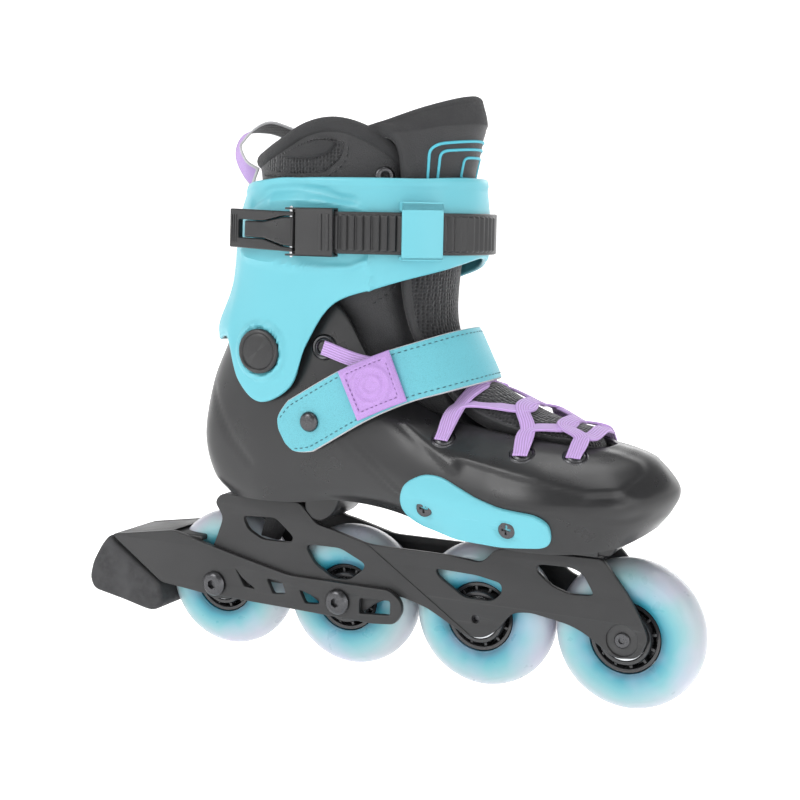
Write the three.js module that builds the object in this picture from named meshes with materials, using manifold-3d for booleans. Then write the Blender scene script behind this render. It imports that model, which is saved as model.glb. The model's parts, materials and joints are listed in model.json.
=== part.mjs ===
// Inline skate for the right foot, with a heel brake.
// Millimetres. +X points to the toe, +Y to the inner (medial) side of the foot, +Z up.
// Shapes are laid out from the middle of the wheelbase. The whole skate is then moved forwards by half
// the wheelbase, so the origin lies on the ground under the rear axle.

import * as THREE from 'three';
import { mergeVertices } from 'three/addons/utils/BufferGeometryUtils.js';
import Module from 'manifold-3d';

const wasm = await Module();
wasm.setup();

// ---------------------------------------------------------------- driving dimensions

const wheelDiameter = 76;
const wheelPitch = 77;
const wheelCount = 4;
const hubRadius = 18;
const bearing = { outer: 11, inFace: 5, outFace: 12 };
const axleRadius = 3.9;
const boreRadius = 4.15;
const plate = { inside: 13.5, outside: 16.6 };
const arm = { inside: 16.9, outside: 20.4 };
const gap = 0.3;
const bridge = { rearTop: 88, frontTop: 77.2, thick: 3 };
const boltX = { rear: -92, front: 77 };
const boltGrip = 8;
const shellWall = 4;
const cuffWall = 3;
const linerWall = 5;
const tongueThick = 4.5;
const cuffPivot = { x: -74, z: 171, capRadius: 11.5, shaftRadius: 5 };
const sliderScrews = [[21.3, 98.9], [66.6, 94]];
const strapRivet = { x: -43, z: 137 };
const ladder = { z: 232.6, width: 20.6, thick: 2.2 };
const buckle = { x: -50, y: -49.5, z: 232.6, heading: -0.03, pinY: -2.8 };
const lever = { heading: -0.2, rise: 0.03, length: 41.5, width: 20.6, thick: 4 };

const wheelbase = wheelPitch * (wheelCount - 1);
const axleHeight = wheelDiameter / 2;
const axleX = (number) => (number - 1) * wheelPitch - wheelbase / 2;

// ---------------------------------------------------------------- finishes

const finishes = {
  aquaPlastic: { color: '#5fc3d0', roughness: 0.45, metalness: 0 },
  blackPlastic: { color: '#232325', roughness: 0.42, metalness: 0 },
  blackGloss: { color: '#141416', roughness: 0.25, metalness: 0 },
  frameMetal: { color: '#3b3b3d', roughness: 0.5, metalness: 0.6 },
  darkSteel: { color: '#2a2a2c', roughness: 0.35, metalness: 0.8 },
  brightSteel: { color: '#b9bcc0', roughness: 0.3, metalness: 1 },
  tyre: { color: '#bfe3ea', roughness: 0.3, metalness: 0 },
  brakeRubber: { color: '#3a3a3b', roughness: 0.85, metalness: 0 },
  liner: { color: '#2c2c2e', roughness: 0.8, metalness: 0 },
  aquaStrap: { color: '#63bfd0', roughness: 0.55, metalness: 0 },
  lilac: { color: '#b78ad6', roughness: 0.7, metalness: 0 },
};

// ---------------------------------------------------------------- solids

const skate = new THREE.Group();
skate.position.x = wheelbase / 2;

/** Position-only copy with shared vertices, no flat triangles and its faces outward. */
function clean(geometry) {
  const bare = geometry.clone();
  for (const name of Object.keys(bare.attributes)) {
    if (name !== 'position') bare.deleteAttribute(name);
  }
  const merged = mergeVertices(bare, 1e-3);
  const spots = merged.attributes.position;
  const corner = (i) => new THREE.Vector3().fromBufferAttribute(spots, i);
  const faces = [];
  let volume = 0;
  for (let i = 0; i < merged.index.count; i += 3) {
    const [a, b, c] = [0, 1, 2].map((k) => merged.index.getX(i + k));
    if (a === b || b === c || c === a) continue;
    faces.push([a, b, c]);
    volume += corner(a).dot(corner(b).cross(corner(c)));
  }
  merged.setIndex(faces.flatMap((face) => (volume < 0 ? face.reverse() : face)));
  return merged;
}

function solid(geometry) {
  const { attributes, index } = clean(geometry);
  const vertProperties = new Float32Array(attributes.position.array);
  const triVerts = new Uint32Array(index.array);
  return new wasm.Manifold(new wasm.Mesh({ numProp: 3, vertProperties, triVerts }));
}

function geometryOf(manifold) {
  const { vertProperties, triVerts } = manifold.getMesh();
  const geometry = new THREE.BufferGeometry();
  geometry.setAttribute('position', new THREE.BufferAttribute(new Float32Array(vertProperties), 3));
  geometry.setIndex(new THREE.BufferAttribute(new Uint32Array(triVerts), 1));
  return geometry;
}

/** One solid from a list of geometries, with another list cut away. */
function combine(added, removed = []) {
  const whole = added.map(solid).reduce((sum, next) => sum.add(next));
  return geometryOf(removed.map(solid).reduce((sum, next) => sum.subtract(next), whole));
}

function addPiece(name, geometry, finish, parent = skate) {
  const body = clean(geometry);
  body.computeVertexNormals();
  const mesh = new THREE.Mesh(body, new THREE.MeshStandardMaterial(finishes[finish]));
  mesh.name = name;
  parent.add(mesh);
  return mesh;
}

// ---------------------------------------------------------------- basic shapes

/** Box from its lowest to its highest corner. */
function box([x0, y0, z0], [x1, y1, z1]) {
  const shape = new THREE.BoxGeometry(x1 - x0, y1 - y0, z1 - z0);
  return shape.translate((x0 + x1) / 2, (y0 + y1) / 2, (z0 + z1) / 2);
}

/** Solid of revolution about the Y axis through (x, z), from [radius, y] points. */
function turned(profile, x = 0, z = 0, sides = 16) {
  const points = profile.map(([radius, y]) => new THREE.Vector2(radius, y));
  return new THREE.LatheGeometry(points, sides, Math.PI / sides).translate(x, 0, z);
}

/** Ring of revolution: the profile closes on itself. */
const ring = (profile, x, z, sides) => turned([...profile, profile[0]], x, z, sides);

/** Round bar along Y. */
const barY = (radius, y0, y1, x, z, sides) => (
  turned([[0, y0], [radius, y0], [radius, y1], [0, y1]], x, z, sides)
);

/** Solid of revolution about a vertical axis through (x, y), from [radius, z] points. */
function turnedUp(profile, x, y, sides = 16) {
  const points = profile.map(([radius, z]) => new THREE.Vector2(radius, z));
  return new THREE.LatheGeometry(points, sides).rotateX(Math.PI / 2).translate(x, y, 0);
}

/** Traces a closed outline anticlockwise with each corner rounded. */
function rounded(points, radius, Kind = THREE.Shape) {
  const corners = points.map(([x, z]) => new THREE.Vector2(x, z));
  if (THREE.ShapeUtils.isClockWise(corners)) corners.reverse();
  const outline = new Kind();
  corners.forEach((corner, i) => {
    const before = corners.at(i - 1);
    const after = corners[(i + 1) % corners.length];
    const cutTo = (end) => {
      const reach = Math.min(radius, corner.distanceTo(end) * 0.45);
      return corner.clone().add(end.clone().sub(corner).setLength(reach));
    };
    const start = cutTo(before);
    const stop = cutTo(after);
    if (i === 0) outline.moveTo(start.x, start.y);
    else outline.lineTo(start.x, start.y);
    outline.quadraticCurveTo(corner.x, corner.y, stop.x, stop.y);
  });
  outline.closePath();
  return outline;
}

/** Plate in the XZ plane between y0 and y1. */
function plateXZ(points, y0, y1, radius = 2, holes = []) {
  const shape = rounded(points, radius);
  for (const hole of holes) shape.holes.push(rounded(hole, 3, THREE.Path));
  const slab = new THREE.ExtrudeGeometry(shape, { depth: y1 - y0, bevelEnabled: false, curveSegments: 1 });
  return slab.rotateX(Math.PI / 2).translate(0, y1, 0);
}

// ---------------------------------------------------------------- smooth skins

/** Smooth curve through the points, with a number of steps from each point to the next. */
function smooth(points, steps, loop = false) {
  const curve = new THREE.CatmullRomCurve3(points, loop, 'catmullrom', 0.5);
  const spans = loop ? points.length : points.length - 1;
  const last = loop ? spans * steps - 1 : spans * steps;
  return Array.from({ length: last + 1 }, (_, i) => curve.getPoint(i / (spans * steps)));
}

/** Finer net through a coarse one: rows of points, each row a loop or an open line. */
function refine(net, rowSteps, columnSteps, loop) {
  const rows = net.map((row) => smooth(row, columnSteps, loop));
  const columns = rows[0].map((_, c) => smooth(rows.map((row) => row[c]), rowSteps));
  return columns[0].map((_, r) => columns.map((column) => column[r]));
}

/** The net moved along its normals. Positive is outward for a loop that runs lateral side first. */
function offset(net, distance, loop) {
  const lastRow = net.length - 1;
  const lastColumn = net[0].length - 1;
  const wrap = (c) => (c + lastColumn + 1) % (lastColumn + 1);
  const clamp = (c) => Math.min(Math.max(c, 0), lastColumn);
  const pick = loop ? wrap : clamp;
  return net.map((row, r) => row.map((point, c) => {
    const along = row[pick(c + 1)].clone().sub(row[pick(c - 1)]);
    const up = net[Math.min(r + 1, lastRow)][c].clone().sub(net[Math.max(r - 1, 0)][c]);
    return point.clone().addScaledVector(along.cross(up).normalize(), distance);
  }));
}

/**
 * Closed wall between an outer and an inner net. The last rows are joined by a lip. The first rows are
 * joined by a lip too, or each is closed by a floor (floors = true, for a loop such as a boot).
 */
function wall(outer, inner, { loop = false, floors = false } = {}) {
  const columns = outer[0].length;
  const spots = [...outer.flat(), ...inner.flat()];
  const out = (r, c) => r * columns + (c % columns);
  const inn = (r, c) => outer.length * columns + r * columns + (c % columns);
  const faces = [];
  const quad = (a, b, c, d) => faces.push(a, b, c, a, c, d);
  const spans = loop ? columns : columns - 1;
  for (let c = 0; c < spans; c += 1) {
    for (let r = 0; r < outer.length - 1; r += 1) {
      quad(out(r, c), out(r, c + 1), out(r + 1, c + 1), out(r + 1, c));
    }
    for (let r = 0; r < inner.length - 1; r += 1) {
      quad(inn(r, c + 1), inn(r, c), inn(r + 1, c), inn(r + 1, c + 1));
    }
    const [outTop, innTop] = [outer.length - 1, inner.length - 1];
    quad(out(outTop, c), out(outTop, c + 1), inn(innTop, c + 1), inn(innTop, c));
    if (!floors) quad(out(0, c + 1), out(0, c), inn(0, c), inn(0, c + 1));
  }
  if (!loop) {
    const end = columns - 1;
    for (let r = 0; r < outer.length - 1; r += 1) {
      quad(out(r, 0), out(r + 1, 0), inn(r + 1, 0), inn(r, 0));
      quad(out(r + 1, end), out(r, end), inn(r, end), inn(r + 1, end));
    }
  }
  if (floors) {
    for (let i = 0; i < columns / 2; i += 1) {
      const [a, b, farA, farB] = [i, i + 1, columns - i, columns - i - 1];
      quad(out(0, b), out(0, a), out(0, farA), out(0, farB));
      quad(inn(0, a), inn(0, b), inn(0, farB), inn(0, farA));
    }
  }
  const geometry = new THREE.BufferGeometry();
  geometry.setAttribute('position', new THREE.Float32BufferAttribute(spots.flatMap((p) => p.toArray()), 3));
  geometry.setIndex(faces);
  return geometry;
}

/** Strip or pad: an open net given thickness to one side. */
const sheet = (net, thickness) => wall(offset(net, thickness), net);

const point = ([x, y, z]) => new THREE.Vector3(x, y, z);

/**
 * Loop round the foot from half of it: [x, half width, z] from the heel to the toe, both on the centre
 * line. The lateral side comes first. Lift raises the medial side, station by station.
 */
function footRing(half, lift = []) {
  const lateral = half.map(([x, width, z]) => point([x, -width, z]));
  const medial = half.map(([x, width, z], i) => point([x, width, z + (lift[i] ?? 0)]));
  return [...lateral, ...medial.slice(1, -1).reverse()];
}

// ---------------------------------------------------------------- boot shell

const shellRings = [
  footRing([[-113, 0, 90], [-105, 20, 90], [-85, 29, 90], [-60, 29.5, 91], [-35, 29, 94.5], [-8, 29, 93],
    [20, 34, 88.5], [50, 42, 84], [85, 43, 83], [113, 31, 86], [126, 0, 92]]),
  footRing([[-122, 0, 101], [-112, 25, 101], [-86, 33, 101], [-60, 34, 102], [-35, 34.5, 102], [-8, 37, 101],
    [20, 41, 98.5], [50, 45, 96], [85, 46, 96], [117, 33, 98], [133, 0, 101]]),
  footRing([[-127, 0, 122], [-116, 27, 122], [-88, 36, 122], [-60, 38, 121], [-35, 39.5, 119], [-6, 42, 115],
    [22, 45.5, 110], [52, 48, 106], [86, 47.5, 107], [120, 34, 109], [136.5, 0, 112]]),
  footRing([[-124, 0, 150], [-112, 25, 150], [-88, 35, 150], [-62, 38, 150], [-38, 39.5, 147], [-9, 38.5, 136],
    [20, 40.5, 127], [51, 42, 121.5], [83, 40, 120], [113, 27, 121], [127, 0, 124.5]]),
  footRing([[-114.5, 0, 172], [-106, 21, 172], [-86, 33, 174], [-60, 36, 175], [-37, 37.5, 171], [-11, 35, 150],
    [17, 31, 136.5], [46, 32, 130.5], [78, 31, 127.5], [104, 21.5, 127], [117, 0, 129.5]]),
  footRing([[-107, 0, 190], [-100, 18, 192], [-82, 31, 195], [-58, 34.5, 197], [-33, 35, 194], [-12, 31, 163],
    [14, 23, 143.5], [42, 22, 136.5], [73, 21.5, 132.5], [96, 15.5, 130.8], [106, 0, 132]],
  [0, 0, 0, 0, 0, 5, 10, 9, 3, 0, 0]),
];
const shellSkin = refine(shellRings, 2, 2, true);

/** The boot's outer form as one filled body, made larger all round by a distance. */
function bootForm(distance) {
  const outside = offset(shellSkin, distance, true);
  const centre = outside.map((row) => row.map(({ x, z }) => point([x, 0, z])));
  return wall(outside, centre.slice(-1), { loop: true, floors: true });
}

function buildShell() {
  const inside = offset(refine(shellRings, 1, 2, true), -shellWall, true);
  inside[0].forEach((spot) => { spot.z += shellWall; });
  const blocks = [
    box([-108, -16.5, bridge.rearTop + gap], [-60, 16.5, 94]),
    box([51, -16.5, bridge.frontTop + gap], [102, 16.5, 90]),
  ];
  const holes = [
    turnedUp([[0, 80], [boreRadius, 80], [boreRadius, 93.2], [0, 93.2]], boltX.rear, 0, 12),
    turnedUp([[0, 70], [boreRadius, 70], [boreRadius, 82.4], [0, 82.4]], boltX.front, 0, 12),
    barY(cuffPivot.shaftRadius + gap, -60, 60, cuffPivot.x, cuffPivot.z),
    barY(2.6, -60, 60, strapRivet.x, strapRivet.z, 10),
    ...sliderScrews.map(([x, z]) => barY(2, -60, 60, x, z, 10)),
  ];
  return combine([wall(shellSkin, inside, { loop: true, floors: true }), ...blocks], holes);
}

addPiece('boot_shell', buildShell(), 'blackPlastic');

// ---------------------------------------------------------------- sliders at the ball of the foot

function buildSlider(side) {
  const outline = [[6.8, 101.9], [11.2, 110.9], [21.6, 116.1], [30.7, 115.8], [50, 107.6], [62.6, 104.1],
    [81, 102.6], [87.2, 98.6], [88.1, 90.5], [85.1, 87], [63.1, 84], [37.8, 84.5], [15.6, 89.5], [8.2, 94.7]];
  const block = side < 0 ? plateXZ(outline, -60, -36, 3) : plateXZ(outline, 36, 60, 3);
  const holes = sliderScrews.map(([x, z]) => barY(2.2, -70, 70, x, z, 10));
  const heads = sliderScrews.map(([x, z]) => barY(3.9, side < 0 ? -70 : 49, side < 0 ? -49 : 70, x, z, 12));
  const skin = solid(block).intersect(solid(bootForm(3)));
  const cut = [bootForm(gap), ...holes, ...heads].map(solid);
  return geometryOf(cut.reduce((rest, tool) => rest.subtract(tool), skin));
}

for (const [name, side] of [['lateral', -1], ['medial', 1]]) {
  addPiece(`slider_${name}`, buildSlider(side), 'aquaPlastic');
  sliderScrews.forEach(([x, z], i) => {
    const profile = [[0, -43], [1.7, -43], [1.7, -49.3], [3.5, -49.3], [3.5, -50.2], [2.4, -50.9], [0, -50.9]];
    const placed = profile.map(([radius, y]) => [radius, -side * y]);
    addPiece(`slider_screw_${name}_${i + 1}`, turned(placed, x, z, 10), 'darkSteel');
  });
}

// ---------------------------------------------------------------- frame

const frameOutline = [[-118.3, 82.9], [-114.1, 88], [-64.7, 88], [-54.1, 77.2], [-46.2, 75.7], [-22.8, 69.7],
  [22, 69.6], [41.2, 67.7], [49, 76.2], [99.9, 77.2], [104.6, 77.2], [117.5, 61.3], [124.3, 50.3],
  [128.8, 40], [124, 30], [112, 28.5], [97.5, 38.4], [88.5, 42.1], [68.1, 45.5], [58, 44], [51, 34.3],
  [43, 28.5], [34, 28.5], [23.5, 34.1], [11.7, 40.2], [-3.9, 44.5], [-18, 39], [-29, 30], [-43, 28.5],
  [-52, 35], [-64, 42], [-90, 42], [-101, 35], [-109, 28.5], [-122, 28.5], [-128, 38], [-124, 50],
  [-118.3, 59.7], [-113.4, 72.5], [-113.4, 76.1]];
const frameWindows = [
  [[-100.1, 76.9], [-79.4, 78], [-67.9, 68.5], [-69.9, 65.3], [-87.6, 65.1], [-97.2, 70]],
  [[-60.5, 64], [-57.9, 65.8], [-39.5, 65.9], [-25.2, 59.4], [-25.2, 56.5], [-34, 49.3], [-43.2, 48.9],
    [-55.1, 55.7]],
  [[15.5, 61.7], [38.5, 60.9], [52, 58.5], [52.5, 53.2], [47.1, 48.5], [32.2, 48.5], [16.9, 58.1]],
  [[70.3, 69.3], [70.9, 66.7], [79.1, 60.5], [88.7, 57.6], [100.9, 58.5], [94.7, 68.7], [88.7, 71.1],
    [72.6, 70.8]],
];

function buildFrame() {
  const sides = [[-plate.outside, -plate.inside], [plate.inside, plate.outside]];
  const plates = sides.map(([y0, y1]) => plateXZ(frameOutline, y0, y1, 4, frameWindows));
  const bridges = [
    box([-113, -15, bridge.rearTop - bridge.thick], [-65, 15, bridge.rearTop]),
    box([53, -15, bridge.frontTop - bridge.thick], [101, 15, bridge.frontTop]),
  ];
  const numbers = [1, 2, 3, 4];
  const bosses = numbers.flatMap((n) => [-1, 1].map((side) => (
    barY(6, side < 0 ? -15 : bearing.outFace + gap, side < 0 ? -bearing.outFace - gap : 15, axleX(n), axleHeight, 10)
  )));
  const bores = numbers.map((n) => barY(boreRadius, n === 3 ? -14.6 : -20, 20, axleX(n), axleHeight, 12));
  const sinks = [
    barY(8, -20, -14.9, axleX(4), axleHeight),
    barY(8, 14.9, 20, axleX(3), axleHeight),
    barY(2, -20, -14, axleX(3), axleHeight, 10),
  ];
  const boltHoles = [boltX.rear, boltX.front].map((x) => (
    turnedUp([[0, 60], [boreRadius, 60], [boreRadius, 95], [0, 95]], x, 0, 12)
  ));
  return combine([...plates, ...bridges, ...bosses], [...bores, ...sinks, ...boltHoles]);
}

addPiece('frame', buildFrame(), 'frameMetal');

for (const [name, x, top] of [['rear', boltX.rear, bridge.rearTop], ['front', boltX.front, bridge.frontTop]]) {
  const seat = top - bridge.thick - gap;
  const bolt = [[0, seat - 4], [6.3, seat - 4], [6.3, seat], [axleRadius, seat], [axleRadius, seat + boltGrip],
    [0, seat + boltGrip]];
  addPiece(`${name}_mounting_bolt`, turnedUp(bolt, x, 0, 12), 'darkSteel');
}

// ---------------------------------------------------------------- axles, wheels and bearings

/** Axle with a domed head outside the face at y. Side is -1 for a head on the lateral side. */
function buildAxle(headFace, headRadius, headHeight, endY, side, x) {
  const profile = [[0, endY], [axleRadius, endY], [axleRadius, headFace], [headRadius, headFace],
    [headRadius, headFace + headHeight * 0.55], [headRadius * 0.7, headFace + headHeight], [0, headFace + headHeight]];
  return turned(profile.map(([radius, y]) => [radius, side * y]), x, axleHeight, 12);
}

const axleHeads = [
  { face: arm.outside + gap, radius: 6.8, height: 3.4, end: -20.2, side: -1 },
  { face: arm.outside + gap, radius: 6.8, height: 3.4, end: -20.2, side: -1 },
  { face: 15.2, radius: 7.1, height: 2.2, end: -14, side: 1 },
  { face: 15.2, radius: 7.1, height: 2.2, end: -16.3, side: -1 },
];

function buildTyre(x) {
  const sides = 22;
  const spread = 1 / Math.cos(Math.PI / sides);
  const half = [[wheelDiameter / 2, 3], [36, 7.2], [32, 10.8], [27.5, 12], [hubRadius + gap, 10.5]];
  const mirrored = half.map(([radius, y]) => [radius, -y]).reverse();
  const profile = [...mirrored, ...half].map(([radius, y]) => [radius * spread, y]);
  return ring(profile, x, axleHeight, sides);
}

function buildHub(x) {
  const seat = bearing.outer + gap;
  const stop = bearing.inFace - gap;
  const core = ring([[seat, -12], [13.4, -12], [13.4, 12], [seat, 12], [seat, stop], [6.2, stop], [6.2, -stop],
    [seat, -stop]], x, axleHeight, 12);
  const rim = ring([[15.8, -9.5], [hubRadius, -9.5], [hubRadius, 9.5], [15.8, 9.5]], x, axleHeight, 16);
  const spokes = Array.from({ length: 3 }, (_, i) => (
    new THREE.BoxGeometry(33.5, 15, 3.5).rotateY((i * Math.PI) / 3 + 0.2).translate(x, 0, axleHeight)
  ));
  const middle = barY(13, -20, 20, x, axleHeight, 12);
  return combine([core, rim, combine(spokes, [middle])]);
}

for (let n = 1; n <= wheelCount; n += 1) {
  const x = axleX(n);
  const head = axleHeads[n - 1];
  addPiece(`axle_${n}`, buildAxle(head.face, head.radius, head.height, head.end, head.side, x), 'darkSteel');
  const sleeve = [[boreRadius, -4.7], [5.6, -4.7], [5.6, 4.7], [boreRadius, 4.7]];
  addPiece(`spacer_${n}`, ring(sleeve, x, axleHeight, 12), 'brightSteel');
  addPiece(`tyre_${n}`, buildTyre(x), 'tyre');
  addPiece(`hub_${n}`, buildHub(x), 'blackGloss');
  for (const [name, side] of [['lateral', -1], ['medial', 1]]) {
    const race = [[boreRadius, bearing.inFace], [bearing.outer, bearing.inFace], [bearing.outer, bearing.outFace],
      [boreRadius, bearing.outFace]].map(([radius, y]) => [radius, side * y]);
    addPiece(`bearing_${n}_${name}`, ring(race, x, axleHeight, 12), 'brightSteel');
  }
}

// ---------------------------------------------------------------- brake

const armOutline = [[-185.7, 57.9], [-143.6, 64.7], [-115.3, 58.1], [-92.7, 53.2], [-68.7, 48.3], [-8.6, 47.8],
  [-2, 43], [-1, 37], [-5, 30], [-17.5, 28.6], [-64.6, 29.9], [-123.7, 31.3], [-151.6, 34]];
const armWindows = [
  [[-102.4, 48], [-98.3, 43.2], [-89.6, 38], [-96.8, 38.5]],
  [[-82.6, 44.8], [-72.6, 43.8], [-70.6, 37.9], [-78.6, 36.8]],
  [[-62.3, 41.2], [-50, 37.8], [-50, 34.8], [-58.7, 34.2]],
  [[-26, 41.3], [-8, 42.2], [-8, 34.5], [-26, 33.1]],
];
const brakeScrew = { x: -174 };

function buildBracket() {
  const arms = [[-arm.outside, -arm.inside], [arm.inside, arm.outside]].map(([y0, y1]) => (
    plateXZ(armOutline, y0, y1, 3, armWindows)
  ));
  const block = plateXZ([[-185.6, 57.5], [-158, 62], [-156.6, 37.5], [-184.8, 55.6]], -17.5, 17.5, 0.5);
  const bores = [1, 2].map((n) => barY(boreRadius, -30, 30, axleX(n), axleHeight, 12));
  const screwProfile = [[0, 30], [2.6, 30], [2.6, 55.6], [4.5, 55.6], [4.5, 70], [0, 70]];
  const screwHole = turnedUp(screwProfile, brakeScrew.x, 0, 12);
  return combine([...arms, block], [...bores, screwHole]);
}

function buildPad() {
  const outline = [[-185.4, 54.6], [-152.6, 33.2], [-150, 20.7], [-156, 17], [-161.2, 16.8], [-178.2, 20.5],
    [-198.3, 24.1], [-201.3, 30.7], [-198.8, 40.7], [-192.2, 51.7], [-186.8, 57.5]];
  const screwHole = turnedUp([[0, 28], [2.6, 28], [2.6, 70], [0, 70]], brakeScrew.x, 0, 12);
  const wheelRoom = barY(wheelDiameter / 2 + 2, -14, 14, axleX(1), axleHeight, 28);
  return combine([plateXZ(outline, -21.5, 21.5, 2.5)], [screwHole, wheelRoom]);
}

addPiece('brake_bracket', buildBracket(), 'blackPlastic');
addPiece('brake_pad', buildPad(), 'brakeRubber');
addPiece('brake_pad_screw', turnedUp([[0, 29], [2.2, 29], [2.2, 56], [4.1, 56], [4.1, 59.2], [0, 59.2]],
  brakeScrew.x, 0, 12), 'darkSteel');

// ---------------------------------------------------------------- liner, footbed and tongue

const linerRings = [
  [[-110, 0, 97.5], [-102, 17.5, 97.5], [-84, 24, 97.5], [-60, 24.5, 99.8], [-35, 24.5, 103.2], [-8, 26, 102],
    [20, 30.5, 97.5], [50, 36.5, 92.5], [85, 37, 91.5], [108, 25, 94], [119.5, 0, 98]],
  [[-120, 0, 122], [-110, 21, 122], [-86, 30, 122], [-60, 32, 121], [-35, 33.5, 120], [-7, 35.5, 118],
    [21, 37.5, 114], [51, 40, 111], [84, 39.5, 111.5], [111, 27, 113], [127, 0, 114.5]],
  [[-117, 0, 150], [-106, 19, 150], [-86, 28.5, 150], [-61, 31.5, 150], [-38, 32.5, 147], [-11, 31, 135],
    [18, 32.5, 124], [49, 33, 117.5], [80, 31, 116], [104, 20, 117], [117, 0, 119]],
  [[-109.5, 0, 166], [-101, 17, 166], [-83, 27, 167], [-60, 30.5, 168], [-38, 31, 165], [-13, 28.5, 147],
    [10, 22.5, 138], [38, 19, 129], [66, 16, 125], [88, 8, 123], [97, 0, 122.5]],
  [[-101.5, 0, 193], [-94.5, 14, 194], [-78, 24.5, 195], [-58, 28, 197], [-37, 28.5, 192], [-18, 25.5, 176],
    [-2, 20, 161], [11, 15, 149.5], [23, 12, 143.5], [30, 7, 140], [34, 0, 139.5]],
  [[-101, 0, 214], [-94, 17, 214], [-81, 30, 214], [-62, 35.5, 214], [-42, 37, 212], [-24, 36, 208],
    [-10, 30, 202], [-4, 21, 197], [3, 14, 193], [6, 7, 191], [6.5, 0, 191]],
  [[-97, 0, 234], [-92, 17, 234], [-81, 30, 235], [-64, 38, 236], [-45, 40.5, 237], [-27, 39.5, 237],
    [-12, 34, 236], [-2, 26, 235], [4, 17, 234], [7, 8, 233], [8, 0, 233]],
  [[-93, 0, 254], [-88, 17, 254], [-79, 29, 256], [-66, 37, 260], [-48, 40, 262], [-30, 39.5, 262],
    [-15, 35.5, 259], [-4, 28, 254], [3, 18, 251], [7, 8, 250], [8, 0, 249]],
  [[-95, 0, 268], [-90, 16, 268], [-80, 28, 270], [-67, 36, 275], [-50, 39, 283], [-34, 38.5, 285.5],
    [-18, 36, 281], [-6, 30, 273], [1, 20, 264], [6, 9, 259], [7, 0, 258]],
].map((half) => footRing(half));

function buildLiner() {
  const outside = linerRings;
  const inside = offset(linerRings.slice(1), -linerWall, true);
  inside[0].forEach((spot, c) => { spot.z = outside[0][c].z + linerWall; });
  return wall(outside, inside, { loop: true, floors: true });
}

function buildFootbed() {
  const middleX = 4;
  const shrunk = linerRings[0].map(({ x, y, z }) => (
    point([middleX + (x - middleX) * 0.86, y * 0.8, z + linerWall + 1.5])
  ));
  const raised = shrunk.map(({ x, y, z }) => point([x, y, z + 3]));
  return wall([shrunk, raised], [raised.map(({ x, y, z }) => point([x * 0.99, y * 0.97, z + 0.2]))],
    { loop: true, floors: true });
}

/** Tongue net: rows across it from the lateral to the medial edge, columns from the toe end upwards. */
function buildTongue() {
  const spine = [[97, 127.5], [70, 133], [46, 143], [31.5, 153], [20.5, 168], [12.5, 188], [12.5, 214], [17, 238],
    [19.5, 260], [24.5, 284], [22, 298]];
  const halfWidth = [10, 14.5, 15, 15, 17.5, 22, 28, 29, 30, 32, 32];
  const sweep = [1, 1.5, 2, 3.5, 7, 12, 15, 17, 21, 33, 46];
  const drop = [2.5, 5, 8, 9, 7, 3, 0, 0, 0, -3.5, 9];
  const across = [1, 0.6, 0, -0.6, -1];
  const net = across.map((share) => spine.map(([x, z], i) => (
    point([x - sweep[i] * share * share, share * halfWidth[i], z - drop[i] * share * share])
  )));
  return sheet(net, tongueThick);
}

addPiece('liner', buildLiner(), 'liner');
addPiece('footbed', buildFootbed(), 'liner');
addPiece('tongue', buildTongue(), 'liner');

/** Flat strip that follows a path: its face turns to the given outward direction at each point. */
function strip(path, outward, width, thickness) {
  const centre = path.map(point);
  const facing = outward.map(point);
  const last = centre.length - 1;
  const edges = centre.map((spot, i) => {
    const along = centre[Math.min(i + 1, last)].clone().sub(centre[Math.max(i - 1, 0)]);
    return facing[i].clone().cross(along).setLength(width / 2);
  });
  const row = (share) => centre.map((spot, i) => spot.clone().addScaledVector(edges[i], share));
  return sheet([row(-1), row(1)], thickness);
}

// ---------------------------------------------------------------- pull loop at the back of the liner

const pullPath = [[-96.5, -9, 260], [-103, -10, 266], [-107.5, -8.5, 275], [-104, -5, 283], [-96, 1, 286.5],
  [-88.5, 6, 284.5], [-82, 10, 280.5]];
const pullFacing = [[-0.7, -0.7, 0], [-0.7, -0.7, -0.3], [-0.75, -0.65, 0], [-0.6, -0.5, 0.6], [-0.2, 0.2, 1],
  [0.2, 0.5, 0.9], [0.2, 0.6, 0.8]];
addPiece('pull_loop', strip(pullPath, pullFacing, 18, 1.2), 'lilac');

// ---------------------------------------------------------------- strap over the instep

/** Strap net: rows from its lower to its upper edge, columns from the lateral to the medial end. */
function buildStrap() {
  const middle = [[-59.5, -42.5, 128], [-57, -42.5, 129.5], [-50, -42.7, 133.5], [-45, -42.6, 136.5],
    [-20, -41, 151.5],
    [0, -36.5, 161], [17.5, -28.5, 167], [28.6, -15, 170.8], [32.6, 0, 172]];
  const lean = [[-0.5, 0.86], [-0.5, 0.86], [-0.5, 0.86], [-0.5, 0.86], [-0.54, 0.84], [-0.56, 0.82], [-0.5, 0.86],
    [-0.46, 0.89], [-0.45, 0.89]];
  const halfWidth = [4, 10, 14.2, 14.8, 14.6, 14.6, 14.6, 14.6, 14.6];
  const row = (share) => {
    const lateral = middle.map(([x, y, z], i) => {
      const [leanX, leanZ] = lean[i];
      return point([x + leanX * halfWidth[i] * share, y, z + leanZ * halfWidth[i] * share]);
    });
    const medial = lateral.slice(0, -1).reverse().map(({ x, y, z }) => point([x, -y, z]));
    return [...lateral, ...medial];
  };
  const holes = barY(2.6, -60, 60, strapRivet.x, strapRivet.z, 10);
  return combine([sheet([row(-1), row(0), row(1)], 2.2)], [holes]);
}

addPiece('power_strap', buildStrap(), 'aquaStrap');

for (const [name, side] of [['lateral', -1], ['medial', 1]]) {
  const profile = [[0, 37], [2.3, 37], [2.3, 45.4], [5.2, 45.4], [4.2, 47.2], [2, 48], [0, 48]];
  const placed = profile.map(([radius, y]) => [radius, side * y]);
  addPiece(`strap_rivet_${name}`, turned(placed, strapRivet.x, strapRivet.z, 12), 'darkSteel');
}

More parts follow.
